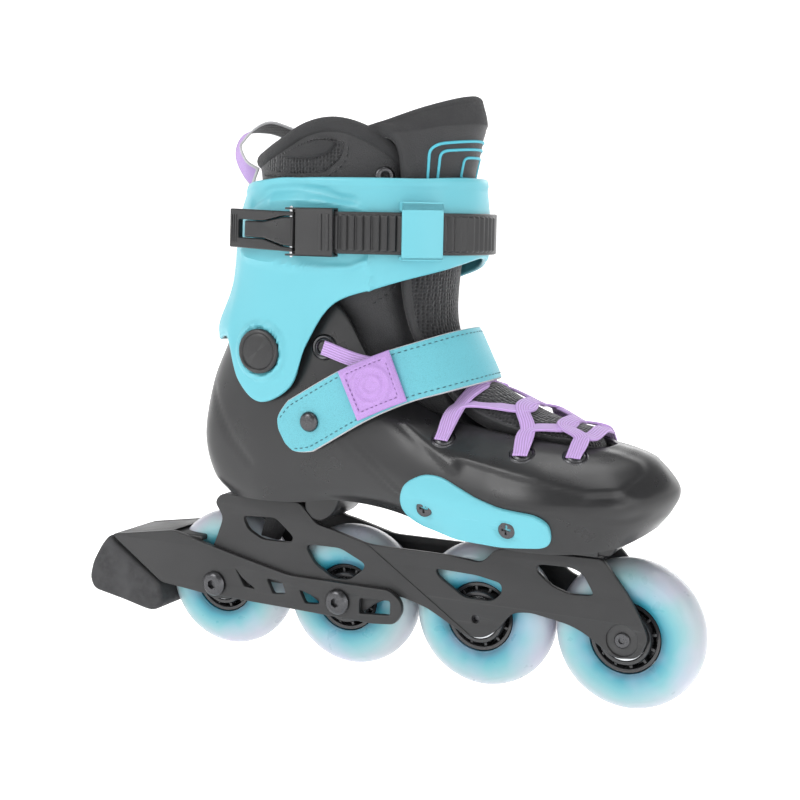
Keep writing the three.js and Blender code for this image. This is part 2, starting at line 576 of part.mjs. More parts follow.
// Square badge on the strap, leaning with it.
const badge = strip([[-21.5, -44.2, 151.5], [-8, -42.2, 158], [3.5, -38.8, 163]],
  [[0, -1, 0.04], [-0.12, -1, 0.04], [-0.2, -1, 0.1]].map(([x, y, z]) => [-x, y, z]), 27, 1.8);
addPiece('strap_badge', badge, 'lilac');

// ---------------------------------------------------------------- lace

const eyelets = {
  lateral: [[-39, -38.6, 174.5], [26.7, -37.3, 132], [67.6, -36.1, 127.6], [92.2, -29.8, 127.6]],
  medial: [[-39, 38.6, 174.5], [30, 36, 137.5], [69, 35, 130.5], [92.2, 29.8, 128.4]],
};
const rimHop = {
  lateral: [[-20, -37.5, 170], [30, -22, 147.5], [66, -21.5, 138], [92, -17, 135.4]],
  medial: [[-20, 37.5, 170], [35, 22, 152.5], [67, 21.5, 143], [92, 17, 137]],
};
const laceCrest = [[36, 0, 158.4], [60, 0, 148.8], [82, 0, 141.3], [96.5, 0, 138]];

function buildLace() {
  const width = 7.5;
  const beside = ([x, , z], side) => [x - 1, side * 12, z - 2.2];
  const strand = (from, to, crest, lift = 0) => {
    const [x, y, z] = laceCrest[crest];
    const top = [x, y, z + lift];
    const path = [eyelets.lateral[from], rimHop.lateral[from], beside(top, -1), top, beside(top, 1),
      rimHop.medial[to], eyelets.medial[to]];
    const outward = [[0, -0.5, 0.85], [0, -0.3, 1], [0.3, -0.2, 1], [0.3, 0, 1], [0.3, 0.2, 1], [0, 0.3, 1],
      [0, 0.5, 0.85]];
    return strip(path, outward, width, 1.3);
  };
  const ankle = (from, to, side) => {
    const [high, low] = side < 0 ? [eyelets.lateral, eyelets.medial] : [eyelets.medial, eyelets.lateral];
    const hop = side < 0 ? rimHop.medial : rimHop.lateral;
    const path = [high[from], [-15, side * 35.5, 167.5], [12, side * 27, 167], [31, side * 12, 162.5], laceCrest[0],
      beside(laceCrest[0], -side), hop[to], low[to]];
    const outward = [[0, side, 0.1], [0.2, side, 0.2], [0.7, side, 0.5], [0.7, side * 0.3, 0.7], [0.7, 0, 0.7],
      [0.4, -side * 0.2, 0.9], [0, -side * 0.3, 1], [0, -side * 0.5, 0.85]];
    return strip(path, outward, width, 1.3);
  };
  return combine([ankle(0, 1, -1), ankle(0, 1, 1), strand(1, 2, 1), strand(2, 1, 1, 0.7), strand(2, 3, 2),
    strand(3, 2, 2, 0.7), strand(3, 3, 3)]);
}

addPiece('lace', buildLace(), 'lilac');

// ---------------------------------------------------------------- cuff

const cuffRings = [
  footRing([[-117, 0, 174], [-111, -23, 175], [-98, -36, 177], [-89, -40, 156], [-75, -41.5, 145.5],
    [-56, -42.5, 155], [-46, -42.5, 178], [-31, -42.5, 198], [-6, -40.5, 207], [17, -30, 214.5], [27.5, -14, 219.5],
    [30.5, 0, 222]].map(([x, y, z]) => [x, -y, z])),
  footRing([[-116.5, 0, 184], [-110.5, 23, 184], [-97.5, 36.5, 184], [-90, 40, 172], [-76, 42, 165], [-55, 43.3, 172],
    [-44, 43.8, 190], [-28, 43.5, 206], [-4, 41, 213], [18, 30.5, 219.5], [28.5, 14, 223.5], [31, 0, 225.5]]),
  footRing([[-107.5, 0, 205], [-102.5, 22, 205], [-93, 34.5, 205], [-84, 39.5, 200], [-71, 43, 196], [-52, 45, 202],
    [-41, 45.5, 211], [-26, 45, 219], [-3, 41.5, 223], [18, 31, 226], [28.5, 14.5, 229], [31, 0, 230]]),
  footRing([[-105, 0, 236], [-99, 22, 236], [-89, 34.5, 236], [-77, 42, 236], [-62, 46, 237], [-48, 47, 238],
    [-37, 47, 239], [-23, 46, 240], [-2, 41.5, 241], [17.5, 30.5, 241], [28, 14.5, 241], [30.5, 0, 241]]),
  footRing([[-98, 0, 252], [-93, 22, 254], [-84, 34, 256], [-72, 42, 257], [-60, 45, 258], [-48, 46.5, 258],
    [-36, 47, 258], [-22, 46, 258], [-2, 41, 258], [16, 29, 258], [26, 14, 258.5], [29, 0, 258.5]]),
];
const keeper = { x: 13, y: -36.5, turn: 0.64, width: 20.5 };
const anchorScrew = { x: -12 };

/** Group for what moves with the cuff. */
const cuffGroup = new THREE.Group();
skate.add(cuffGroup);

function buildCuff() {
  const outside = refine(cuffRings, 1, 2, true);
  const skin = wall(outside, offset(outside, -cuffWall, true), { loop: true });
  const bosses = [[-44, -39.2], [39.2, 44]].map(([y0, y1]) => barY(15.5, y0, y1, cuffPivot.x, cuffPivot.z, 16));
  const half = keeper.width / 2;
  const place = (shape) => shape.rotateZ(keeper.turn).translate(keeper.x, keeper.y, 0);
  const bridgeOver = [
    box([-half, -6, 219.6], [half, -4.2, 248]),
    box([-half, -6, 219.6], [half, 2.2, 221.8]),
    box([-half, -6, 243.4], [half, 2.2, 248]),
  ].map(place);
  const cuts = [
    barY(cuffPivot.shaftRadius + gap, -60, 60, cuffPivot.x, cuffPivot.z, 14),
    barY(cuffPivot.capRadius + gap, -60, -42.2, cuffPivot.x, cuffPivot.z, 16),
    barY(cuffPivot.capRadius + gap, 42.2, 60, cuffPivot.x, cuffPivot.z, 16),
    barY(2, 30, 60, anchorScrew.x, ladder.z, 10),
    box([15, 11.7, 200], [45, 12.3, 270]),
  ];
  return combine([skin, ...bosses, ...bridgeOver], cuts);
}

addPiece('cuff', buildCuff(), 'aquaPlastic', cuffGroup);

for (const [name, side] of [['lateral', -1], ['medial', 1]]) {
  const { shaftRadius, capRadius } = cuffPivot;
  const profile = [[0, 33.5], [shaftRadius, 33.5], [shaftRadius, 42.5], [capRadius, 42.5], [capRadius, 44.6],
    [capRadius - 2, 45.4], [0, 45.4]];
  const placed = profile.map(([radius, y]) => [radius, side * y]);
  addPiece(`cuff_pivot_${name}`, turned(placed, cuffPivot.x, cuffPivot.z, 16), 'blackPlastic');
}

// ---------------------------------------------------------------- ladder strap and buckle

function buildLadder() {
  const path = [[-47, -49.1], [-28, -49.7], [-16, -47.8], [0, -42.8], [12, -37], [22.5, -28], [29.5, -16],
    [32.2, 0], [29.5, 16], [22.5, 28], [8, 38.7], [-8, 44.3], [-26, 47.2]];
  const outward = path.map(([x, y]) => [Math.max(x + 12, 0) * 0.045, y * 0.03, 0]);
  const band = strip(path.map(([x, y]) => [x, y, ladder.z]), outward, ladder.width, ladder.thick);
  return combine([band], [barY(2, 30, 60, anchorScrew.x, ladder.z, 10)]);
}

addPiece('ladder_strap', buildLadder(), 'blackPlastic', cuffGroup);
addPiece('strap_anchor_screw', turned([[0, 41], [1.7, 41], [1.7, 48.1], [4, 48.1], [3.2, 49.7], [0, 49.7]],
  anchorScrew.x, ladder.z, 12), 'darkSteel', cuffGroup);

const buckleGroup = new THREE.Group();
buckleGroup.position.set(buckle.x, buckle.y, buckle.z);
buckleGroup.rotation.z = buckle.heading;
cuffGroup.add(buckleGroup);

const barZ = (radius, z0, z1, x, y, sides) => (
  turnedUp([[0, z0], [radius, z0], [radius, z1], [0, z1]], x, y, sides)
);

function buildHousing() {
  const walls = [
    box([2.9, -4.4, -11.9], [24, -2.3, 11.9]),
    box([-3, -4.4, 10.9], [24, 1.9, 11.9]),
    box([-3, -4.4, -11.9], [24, 1.9, -10.9]),
    box([-3, 0.9, -11.9], [24, 1.9, 11.9]),
  ];
  return combine(walls, [barZ(1.2, -20, 20, 0, buckle.pinY, 10)]);
}

/** Lever: a plate with a tapered window that opens the end at the pin, which its two arms hold. */
function buildLever() {
  const { length, width, thick } = lever;
  const half = width / 2;
  const outline = [[-length, half - 0.5], [-length, 0.5 - half], [2, 0.4 - half], [2, -7.9], [-5, -7.6], [-18, -4.6],
    [-35.5, -4.6], [-35.5, 4.6], [-18, 4.6], [-5, 7.6], [2, 7.9], [2, half - 0.4]];
  return combine([plateXZ(outline, -thick / 2, thick / 2, 0.8)], [barZ(1.3, -20, 20, 0, 0, 10)]);
}

function buildCatch() {
  const outline = [[-31, 4.1], [-31, -4.1], [-18, -4.1], [-4.6, -7], [2, -7.3], [2, 7.3], [-4.6, 7], [-18, 4.1]];
  return combine([plateXZ(outline, -lever.thick / 2, lever.thick / 2, 0.6)], [barZ(1.3, -20, 20, 0, 0, 10)]);
}

addPiece('buckle_housing', buildHousing(), 'blackPlastic', buckleGroup);
addPiece('buckle_pin', barZ(0.9, -12.6, 12.6, 0, buckle.pinY, 10), 'brightSteel', buckleGroup);

// The closed lever and its catch lean from the housing towards the back of the cuff, about the pin.
const leverGroup = new THREE.Group();
leverGroup.position.y = buckle.pinY;
leverGroup.rotation.set(0, lever.rise, lever.heading, 'ZYX');
buckleGroup.add(leverGroup);
addPiece('buckle_lever', buildLever(), 'blackPlastic', leverGroup);
addPiece('release_catch', buildCatch(), 'blackPlastic', leverGroup);

export default skate;
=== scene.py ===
"""Looks of the inline skate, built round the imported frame.

Shapes are laid out in millimetres from the middle of the wheelbase, as the solids are, and put() turns
them into metres in the row frame.
"""

import json
import math

import bmesh
import bpy
import numpy as np
from mathutils import Matrix, Vector
from mathutils.bvhtree import BVHTree


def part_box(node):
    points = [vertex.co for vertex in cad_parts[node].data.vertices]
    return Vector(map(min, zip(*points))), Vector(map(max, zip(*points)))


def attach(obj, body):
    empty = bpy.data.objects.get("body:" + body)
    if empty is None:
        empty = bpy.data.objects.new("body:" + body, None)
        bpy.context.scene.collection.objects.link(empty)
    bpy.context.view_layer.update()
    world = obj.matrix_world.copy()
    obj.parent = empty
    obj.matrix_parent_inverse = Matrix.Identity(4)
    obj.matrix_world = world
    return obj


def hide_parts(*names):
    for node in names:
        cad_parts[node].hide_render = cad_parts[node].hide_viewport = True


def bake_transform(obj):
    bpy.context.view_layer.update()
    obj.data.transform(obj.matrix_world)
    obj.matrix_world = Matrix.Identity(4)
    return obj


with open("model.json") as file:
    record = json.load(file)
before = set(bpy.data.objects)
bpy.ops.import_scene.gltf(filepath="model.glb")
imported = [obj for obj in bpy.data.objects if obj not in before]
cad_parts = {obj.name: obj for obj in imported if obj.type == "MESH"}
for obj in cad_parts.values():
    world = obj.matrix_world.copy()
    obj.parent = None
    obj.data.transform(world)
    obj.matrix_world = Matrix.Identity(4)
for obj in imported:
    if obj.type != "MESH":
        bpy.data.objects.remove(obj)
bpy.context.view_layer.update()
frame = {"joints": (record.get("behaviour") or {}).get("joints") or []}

MM = 0.001
SAME_SPOT = 1e-6
joints = {joint["name"]: joint for joint in frame["joints"]}
wheel_x = [joints[f"wheel_{n}_spin"]["pos_m"][0] / MM for n in (1, 2, 3, 4)]
AXLE_Z = joints["wheel_1_spin"]["pos_m"][2] / MM
MIDDLE = (wheel_x[0] + wheel_x[-1]) / 2
axle_x = [x - MIDDLE for x in wheel_x]
PIVOT = np.array(joints["cuff_tilt"]["pos_m"]) / MM - (MIDDLE, 0, 0)


def put(points):
    """Millimetres from mid-wheelbase to metres in the row frame."""
    return (np.asarray(points, float) + (MIDDLE, 0, 0)) * MM


# ---------------------------------------------------------------- camera, floor and light

AZIMUTH, ELEVATION, ROLL = math.radians(25.44), math.radians(7.41), math.radians(0.99)
EYE = Vector((0.41893, -0.66685, 0.24126))
LENS = 63.73


def add_camera():
    back = Vector((math.sin(AZIMUTH) * math.cos(ELEVATION), -math.cos(AZIMUTH) * math.cos(ELEVATION),
                   math.sin(ELEVATION)))
    right = Vector((math.cos(AZIMUTH), math.sin(AZIMUTH), 0))
    up = back.cross(right)
    rolled_right = right * math.cos(ROLL) + up * math.sin(ROLL)
    rolled_up = up * math.cos(ROLL) - right * math.sin(ROLL)
    data = bpy.data.cameras.new("camera")
    data.lens = LENS
    camera = bpy.data.objects.new("camera", data)
    camera.matrix_world = Matrix.LocRotScale(EYE, Matrix((rolled_right, rolled_up, back)).transposed(), None)
    bpy.context.scene.collection.objects.link(camera)
    bpy.context.scene.camera = camera


def add_light(name, place, aim, size, power):
    data = bpy.data.lights.new(name, "AREA")
    data.shape = "RECTANGLE"
    data.size, data.size_y = size
    data.energy = power
    light = bpy.data.objects.new(name, data)
    light.location = place
    light.rotation_euler = (Vector(aim) - Vector(place)).to_track_quat("-Z", "Y").to_euler()
    bpy.context.scene.collection.objects.link(light)


add_camera()
SUBJECT = (0.12, 0, 0.15)
add_light("key", (-0.7, -1.3, 1.3), SUBJECT, (0.8, 0.8), 12.5)
add_light("fill", (1.7, -0.9, 0.6), SUBJECT, (0.7, 1.4), 4)
add_light("top", (0.3, 0.1, 1.7), SUBJECT, (1.2, 0.8), 9.5)
add_light("back", (0.2, 1.6, 0.9), SUBJECT, (1.6, 1.0), 7)
world = bpy.data.worlds.new("studio")
world.use_nodes = True
world.node_tree.nodes["Background"].inputs["Color"].default_value = (1, 1, 1, 1)
world.node_tree.nodes["Background"].inputs["Strength"].default_value = 0.4
bpy.context.scene.world = world
bpy.context.scene.view_settings.view_transform = "Standard"


# ---------------------------------------------------------------- materials


class Nodes:
    """A material's node tree, with a short way to add and link nodes."""

    def __init__(self, name):
        self.material = bpy.data.materials.new(name)
        self.material.use_nodes = True
        self.tree = self.material.node_tree
        self.shader = self.tree.nodes["Principled BSDF"]
        self.place = self.add("ShaderNodeTexCoord").outputs["Object"]

    def add(self, kind, settings=None, **sockets):
        node = self.tree.nodes.new(kind)
        for key, value in (settings or {}).items():
            setattr(node, key, value)
        for key, value in sockets.items():
            self.feed(node.inputs[key.replace("_", " ")], value)
        return node

    def feed(self, socket, value):
        if isinstance(value, bpy.types.NodeSocket):
            self.tree.links.new(value, socket)
        else:
            socket.default_value = value

    def noise(self, scale, detail=3):
        return self.add("ShaderNodeTexNoise", Vector=self.place, Scale=scale, Detail=detail).outputs["Fac"]

    def spread(self, factor, low, high, start=0.3, stop=0.7):
        """A number that goes from low to high as the factor goes from start to stop."""
        node = self.add("ShaderNodeMapRange", Value=factor)
        for key, value in (("From Min", start), ("From Max", stop), ("To Min", low), ("To Max", high)):
            node.inputs[key].default_value = value
        return node.outputs["Result"]

    def mix(self, factor, first, second):
        node = self.add("ShaderNodeMix", {"data_type": "RGBA"})
        self.feed(node.inputs[0], factor)
        self.feed(node.inputs[6], first)
        self.feed(node.inputs[7], second)
        return node.outputs[2]

    def sum(self, first, second, operation="ADD"):
        node = self.add("ShaderNodeMath", {"operation": operation})
        self.feed(node.inputs[0], first)
        self.feed(node.inputs[1], second)
        return node.outputs[0]

    def bump(self, height, strength, distance):
        node = self.add("ShaderNodeBump", Height=height, Strength=strength, Distance=distance)
        self.feed(self.shader.inputs["Normal"], node.outputs["Normal"])

    def worn(self, color, shade, amount=0.5):
        """The colour, a little lighter along the edges that rub."""
        edges = self.add("ShaderNodeNewGeometry").outputs["Pointiness"]
        return self.mix(self.spread(edges, 0, amount, 0.52, 0.62), color, shade)


def rgb(red, green, blue):
    return (red, green, blue, 1)


def moulded(name, color, rough, grain=0.12, coat=0.0, metallic=0.0, tint=0.06, scale=1600):
    """Moulded plastic or painted metal: fine spark texture, slight unevenness, paler worn edges."""
    n = Nodes(name)
    paler = rgb(*[min(1, c * (1 + tint) + tint * 0.12) for c in color])
    base = n.mix(n.noise(22), rgb(*color), paler)
    n.feed(n.shader.inputs["Base Color"], n.worn(base, rgb(*[min(1, c * 1.25 + 0.03) for c in color])))
    n.feed(n.shader.inputs["Roughness"], n.spread(n.noise(60, 5), rough - 0.05, rough + 0.07))
    n.shader.inputs["Metallic"].default_value = metallic
    n.shader.inputs["Coat Weight"].default_value = coat
    n.shader.inputs["Coat Roughness"].default_value = 0.15
    n.bump(n.noise(scale, 4), grain, 0.0002)
    return n.material


def leather(name, color, rough=0.5, grain=0.5, scale=900):
    """Synthetic leather: pebbled grain with darker valleys."""
    n = Nodes(name)
    cells = n.add("ShaderNodeTexVoronoi", {"feature": "DISTANCE_TO_EDGE"}, Vector=n.place, Scale=scale)
    pebble = n.spread(cells.outputs["Distance"], 0, 1, 0.0, 0.12)
    height = n.sum(pebble, n.noise(2400, 3))
    base = n.mix(pebble, rgb(*[c * 0.72 for c in color]), rgb(*color))
    base = n.mix(n.spread(n.noise(14), 0, 0.35), base, rgb(*[min(1, c * 1.25 + 0.01) for c in color]))
    n.feed(n.shader.inputs["Base Color"], base)
    n.feed(n.shader.inputs["Roughness"], n.spread(n.noise(90, 5), rough - 0.07, rough + 0.1))
    n.shader.inputs["Sheen Weight"].default_value = 0.08
    n.bump(height, grain, 0.0003)
    return n.material


def woven(name, color, gap, scale=420, rough=0.8, strength=0.8):
    """Woven or knitted cloth: two crossed sets of threads over a darker ground."""
    n = Nodes(name)
    threads = []
    for direction in ("X", "Z"):
        wave = n.add("ShaderNodeTexWave", {"bands_direction": direction}, Vector=n.place, Scale=scale,
                     Distortion=1.2, Detail=1.0)
        wave.inputs["Detail Scale"].default_value = 3.0
        threads.append(wave.outputs["Fac"])
    height = n.sum(threads[0], threads[1], "MULTIPLY")
    base = n.mix(n.spread(height, 0, 1, 0.05, 0.5), rgb(*gap), rgb(*color))
    n.feed(n.shader.inputs["Base Color"], base)
    n.feed(n.shader.inputs["Roughness"], n.spread(n.noise(200), rough - 0.08, rough + 0.08))
    n.shader.inputs["Sheen Weight"].default_value = 0.25
    n.bump(height, strength, 0.0004)
    return n.material


def spacer_mesh(name, color, hole, scale=520):
    """Spacer mesh: small dark holes between thick threads."""
    n = Nodes(name)
    cells = n.add("ShaderNodeTexVoronoi", {"feature": "F1"}, Vector=n.place, Scale=scale, Randomness=0.35)
    height = n.spread(cells.outputs["Distance"], 0, 1, 0.2, 0.6)
    n.feed(n.shader.inputs["Base Color"], n.mix(height, rgb(*hole), rgb(*color)))
    n.feed(n.shader.inputs["Roughness"], n.spread(n.noise(150), 0.78, 0.95))
    n.shader.inputs["Sheen Weight"].default_value = 0.3
    n.bump(height, 0.9, 0.0006)
    return n.material


def urethane(name):
    """Cast tyre: bright aqua at the hub that fades to a milky, faintly pink rim."""
    n = Nodes(name)
    reach = n.add("ShaderNodeAttribute", {"attribute_name": "reach"}).outputs["Fac"]
    cloud = n.sum(reach, n.spread(n.noise(28, 2), -0.1, 0.1, 0.25, 0.75))
    ramp = n.add("ShaderNodeValToRGB", Fac=cloud)
    stops = [(0.0, (0.01, 0.15, 0.22)), (0.14, (0.05, 0.31, 0.4)), (0.36, (0.15, 0.42, 0.47)),
             (0.6, (0.27, 0.46, 0.49)), (0.82, (0.37, 0.45, 0.48)), (1.0, (0.38, 0.4, 0.44))]
    elements = ramp.color_ramp.elements
    elements[0].position, elements[1].position = stops[0][0], stops[-1][0]
    for position, _ in stops[1:-1]:
        elements.new(position)
    for element, (_, color) in zip(elements, stops):
        element.color = rgb(*color)
    pearl = n.mix(n.spread(n.noise(45, 2), 0, 0.35, 0.45, 0.75), ramp.outputs["Color"], rgb(0.56, 0.44, 0.62))
    n.feed(n.shader.inputs["Base Color"], pearl)
    n.feed(n.shader.inputs["Roughness"], n.spread(n.noise(80, 4), 0.26, 0.36))
    n.shader.inputs["Subsurface Weight"].default_value = 0.5
    n.shader.inputs["Subsurface Radius"].default_value = (0.006, 0.008, 0.009)
    n.shader.inputs["Subsurface Scale"].default_value = 0.6
    n.shader.inputs["Coat Weight"].default_value = 0.35
    n.shader.inputs["Coat Roughness"].default_value = 0.12
    n.bump(n.noise(900, 3), 0.03, 0.0002)
    return n.material


def steel(name, color, rough):
    """Turned steel: fine rings of tool marks and small stains."""
    n = Nodes(name)
    marks = n.noise(2600, 2)
    n.feed(n.shader.inputs["Base Color"], n.mix(n.noise(90), rgb(*color), rgb(*[c * 0.8 for c in color])))
    n.feed(n.shader.inputs["Roughness"], n.spread(marks, rough - 0.05, rough + 0.1))
    n.shader.inputs["Metallic"].default_value = 1.0
    n.bump(marks, 0.05, 0.0001)
    return n.material


def rubber(name, color):
    """Brake rubber: matt, speckled and scuffed."""
    n = Nodes(name)
    scuff = n.spread(n.noise(75, 6), 0, 0.6, 0.5, 0.75)
    base = n.mix(scuff, rgb(*color), rgb(*[c * 1.8 + 0.01 for c in color]))
    n.feed(n.shader.inputs["Base Color"], base)
    n.feed(n.shader.inputs["Roughness"], n.spread(n.noise(300), 0.62, 0.85))
    n.bump(n.sum(n.noise(1400, 4), n.noise(220, 3)), 0.35, 0.0004)
    return n.material


def webbing(name, color, pitch=1.1, rough=0.75):
    """Woven tape: lengthwise ribs from the path attribute, with a fine cross thread."""
    n = Nodes(name)
    path = n.add("ShaderNodeAttribute", {"attribute_name": "path"}).outputs["Vector"]
    split = n.add("ShaderNodeSeparateXYZ", Vector=path)
    rib = n.add("ShaderNodeMath", {"operation": "SINE"})
    n.feed(rib.inputs[0], n.sum(split.outputs["Y"], 2 * math.pi / pitch, "MULTIPLY"))
    pick = n.add("ShaderNodeMath", {"operation": "SINE"})
    n.feed(pick.inputs[0], n.sum(split.outputs["X"], 2 * math.pi / 0.6, "MULTIPLY"))
    height = n.sum(rib.outputs[0], n.sum(pick.outputs[0], 0.35, "MULTIPLY"))
    base = n.mix(n.spread(height, 0, 1, -1, 0.6), rgb(*[c * 0.66 for c in color]), rgb(*color))
    n.feed(n.shader.inputs["Base Color"], base)
    n.feed(n.shader.inputs["Roughness"], n.spread(n.noise(300), rough - 0.08, rough + 0.08))
    n.shader.inputs["Sheen Weight"].default_value = 0.3
    n.bump(height, 0.5, 0.0003)
    return n.material


AQUA = (0.115, 0.43, 0.505)
BLACK = (0.012, 0.012, 0.013)
LILAC = (0.44, 0.26, 0.6)
mat = {
    "aqua": moulded("aqua_plastic", AQUA, 0.36, grain=0.06),
    "shell": moulded("shell_plastic", BLACK, 0.3, grain=0.08, tint=0.03),
    "black": moulded("black_plastic", (0.016, 0.016, 0.017), 0.4, grain=0.25, tint=0.03),
    "gloss": moulded("hub_plastic", (0.012, 0.012, 0.014), 0.16, grain=0.04, coat=0.3),
    "frame": moulded("frame_coating", (0.028, 0.028, 0.029), 0.42, grain=0.25, metallic=0.3),
    "dark_steel": steel("dark_steel", (0.1, 0.1, 0.105), 0.28),
    "bright_steel": steel("bright_steel", (0.7, 0.71, 0.73), 0.22),
    "tyre": urethane("urethane"),
    "pad": rubber("brake_rubber", (0.03, 0.03, 0.032)),
    "leather": leather("liner_leather", (0.018, 0.018, 0.02), rough=0.46),
    "suede": leather("liner_suede", (0.022, 0.022, 0.024), rough=0.75, grain=0.8, scale=1500),
    "mesh": spacer_mesh("liner_mesh", (0.02, 0.02, 0.022), (0.002, 0.002, 0.003)),
    "lining": woven("lining_cloth", (0.03, 0.03, 0.033), (0.008, 0.008, 0.01)),
    "aqua_leather": leather("strap_leather", AQUA, rough=0.42, grain=0.2, scale=1400),
    "lilac_pad": leather("badge_leather", LILAC, rough=0.48, grain=0.25, scale=1300),
    "lilac_web": webbing("lace_cloth", (0.56, 0.36, 0.74), pitch=1.25),
    "lilac_tape": webbing("tape_cloth", (0.5, 0.3, 0.7), pitch=0.9),
    "white_edge": woven("raw_edge", (0.75, 0.75, 0.76), (0.5, 0.5, 0.52), scale=900),
    "thread": woven("dark_thread", (0.02, 0.03, 0.035), (0.01, 0.01, 0.012), scale=2500),
    "aqua_thread": woven("aqua_thread", (0.04, 0.24, 0.3), (0.02, 0.12, 0.15), scale=2500),
    "lilac_thread": woven("lilac_thread", (0.3, 0.13, 0.46), (0.14, 0.05, 0.22), scale=2500),
    "aqua_line": moulded("aqua_print", (0.06, 0.4, 0.5), 0.5, grain=0.3),
    "floor": moulded("floor_paint", (0.92, 0.92, 0.92), 0.75, grain=0.0),
}
FLOOR_GLOW = 0.66
floor_shader = mat["floor"].node_tree.nodes["Principled BSDF"]
floor_shader.inputs["Emission Color"].default_value = (1, 1, 1, 1)
floor_shader.inputs["Emission Strength"].default_value = FLOOR_GLOW

# ---------------------------------------------------------------- curves and nets


def evaluate(points, at, loop=False):
    """Catmull-Rom curve through points, along the first axis, at places counted in points."""
    p = np.asarray(points, float)
    at = np.asarray(at, float)
    if loop:
        low = np.floor(at).astype(int)
        picks = [p[(low + k) % len(p)] for k in (-1, 0, 1, 2)]
    else:
        p = np.concatenate([[2 * p[0] - p[1]], p, [2 * p[-1] - p[-2]]])
        low = np.clip(np.floor(at).astype(int), 0, len(p) - 4)
        picks = [p[low + k] for k in (0, 1, 2, 3)]
    t = (at - low).reshape((-1,) + (1,) * (p.ndim - 1))
    a, b, c, d = picks
    return 0.5 * (2 * b + (c - a) * t + (2 * a - 5 * b + 4 * c - d) * t * t
                  + (3 * b - a - 3 * c + d) * t ** 3)


def smooth(points, steps, loop=False):
    spans = len(points) if loop else len(points) - 1
    count = spans * steps if loop else spans * steps + 1
    return evaluate(points, np.arange(count) / steps, loop)


def refine(net, row_steps, column_steps, loop):
    """Finer net through a coarse one of rows and columns of points."""
    rows = smooth(np.asarray(net, float).swapaxes(0, 1), column_steps, loop).swapaxes(0, 1)
    return smooth(rows, row_steps)


def unit(vectors):
    length = np.linalg.norm(vectors, axis=-1, keepdims=True)
    return vectors / np.maximum(length, 1e-9)


def normals(net, loop):
    """Outward for a loop that runs lateral side first, and for an open net laid the same way."""
    if loop:
        along = np.roll(net, -1, 1) - np.roll(net, 1, 1)
    else:
        along = np.gradient(net, axis=1)
    return unit(np.cross(along, np.gradient(net, axis=0)))


def foot_ring(half, lift=None):
    """Loop round the foot from half of it, [x, half width, z] from the heel to the toe."""
    half = np.asarray(half, float)
    lateral = half * (1, -1, 1)
    medial = half.copy()
    if lift is not None:
        medial[:, 2] += lift
    return np.concatenate([lateral, medial[1:-1][::-1]])


def arc(radius, centre, start, stop, count):
    """Points [x, z] on an arc in the XZ plane, angles in degrees."""
    angles = np.radians(np.linspace(start, stop, count))
    return [(centre[0] + radius * math.cos(a), centre[1] + radius * math.sin(a)) for a in angles]


def path_distance(spots, path):
    """Distance from each spot [.., 2] to a line through the path's points."""
    path = np.asarray(path, float)
    best = np.full(spots.shape[:-1], np.inf)
    for a, b in zip(path[:-1], path[1:]):
        ab = b - a
        t = np.clip(((spots - a) @ ab) / max(ab @ ab, 1e-9), 0, 1)
        best = np.minimum(best, np.linalg.norm(spots - a - t[..., None] * ab, axis=-1))
    return best


def inside(spots, outline):
    """Which spots [.., 2] lie in a closed outline."""
    x, z = spots[..., 0], spots[..., 1]
    odd = np.zeros(x.shape, bool)
    points = np.asarray(outline, float)
    for (x0, z0), (x1, z1) in zip(points, np.roll(points, -1, 0)):
        if z0 == z1:
            continue
        cross = (z0 > z) != (z1 > z)
        odd ^= cross & (x < (x1 - x0) * (z - z0) / (z1 - z0) + x0)
    return odd


def depth_in(spots, outline):
    """How far inside a closed outline each spot lies. Negative outside."""
    closed = np.concatenate([outline, outline[:1]])
    distance = path_distance(spots, closed)
    return np.where(inside(spots, outline), distance, -distance)


def step(value, width):
    """0 to 1 across a band of the given width round zero."""
    t = np.clip(value / width + 0.5, 0, 1)
    return t * t * (3 - 2 * t)


def groove(distance, width):
    return -np.exp(-(distance / width) ** 2)


# ---------------------------------------------------------------- meshes


def grid_faces(rows, columns, wrap_rows=False, wrap_columns=False):
    r = np.arange(rows if wrap_rows else rows - 1)[:, None]
    c = np.arange(columns if wrap_columns else columns - 1)[None, :]
    up, right = (r + 1) % rows, (c + 1) % columns
    quads = [r * columns + c, r * columns + right, up * columns + right, up * columns + c]
    return np.stack([np.broadcast_to(q, (r.size, c.size)).ravel() for q in quads], 1)


class Body:
    """Vertices and faces gathered for one piece, with a material number and an attribute for each."""

    def __init__(self):
        self.spots, self.faces, self.kinds, self.marks = [], [], [], []
        self.count = 0

    def add(self, spots, faces, kind=0, marks=None):
        spots = np.asarray(spots, float).reshape(-1, 3)
        faces = [list(np.asarray(face) + self.count) for face in faces]
        self.spots.append(spots)
        self.faces += faces
        kinds = np.broadcast_to(kind, len(faces))
        self.kinds += [int(k) for k in kinds]
        self.marks.append(np.zeros((len(spots), 3)) if marks is None else np.reshape(marks, (-1, 3)))
        self.count += len(spots)
        return self

    def grid(self, net, wrap_rows=False, wrap_columns=False, kind=0, marks=None, flip=False):
        net = np.asarray(net, float)
        faces = grid_faces(*net.shape[:2], wrap_rows, wrap_columns)
        return self.add(net, faces[:, ::-1] if flip else faces, kind, marks)


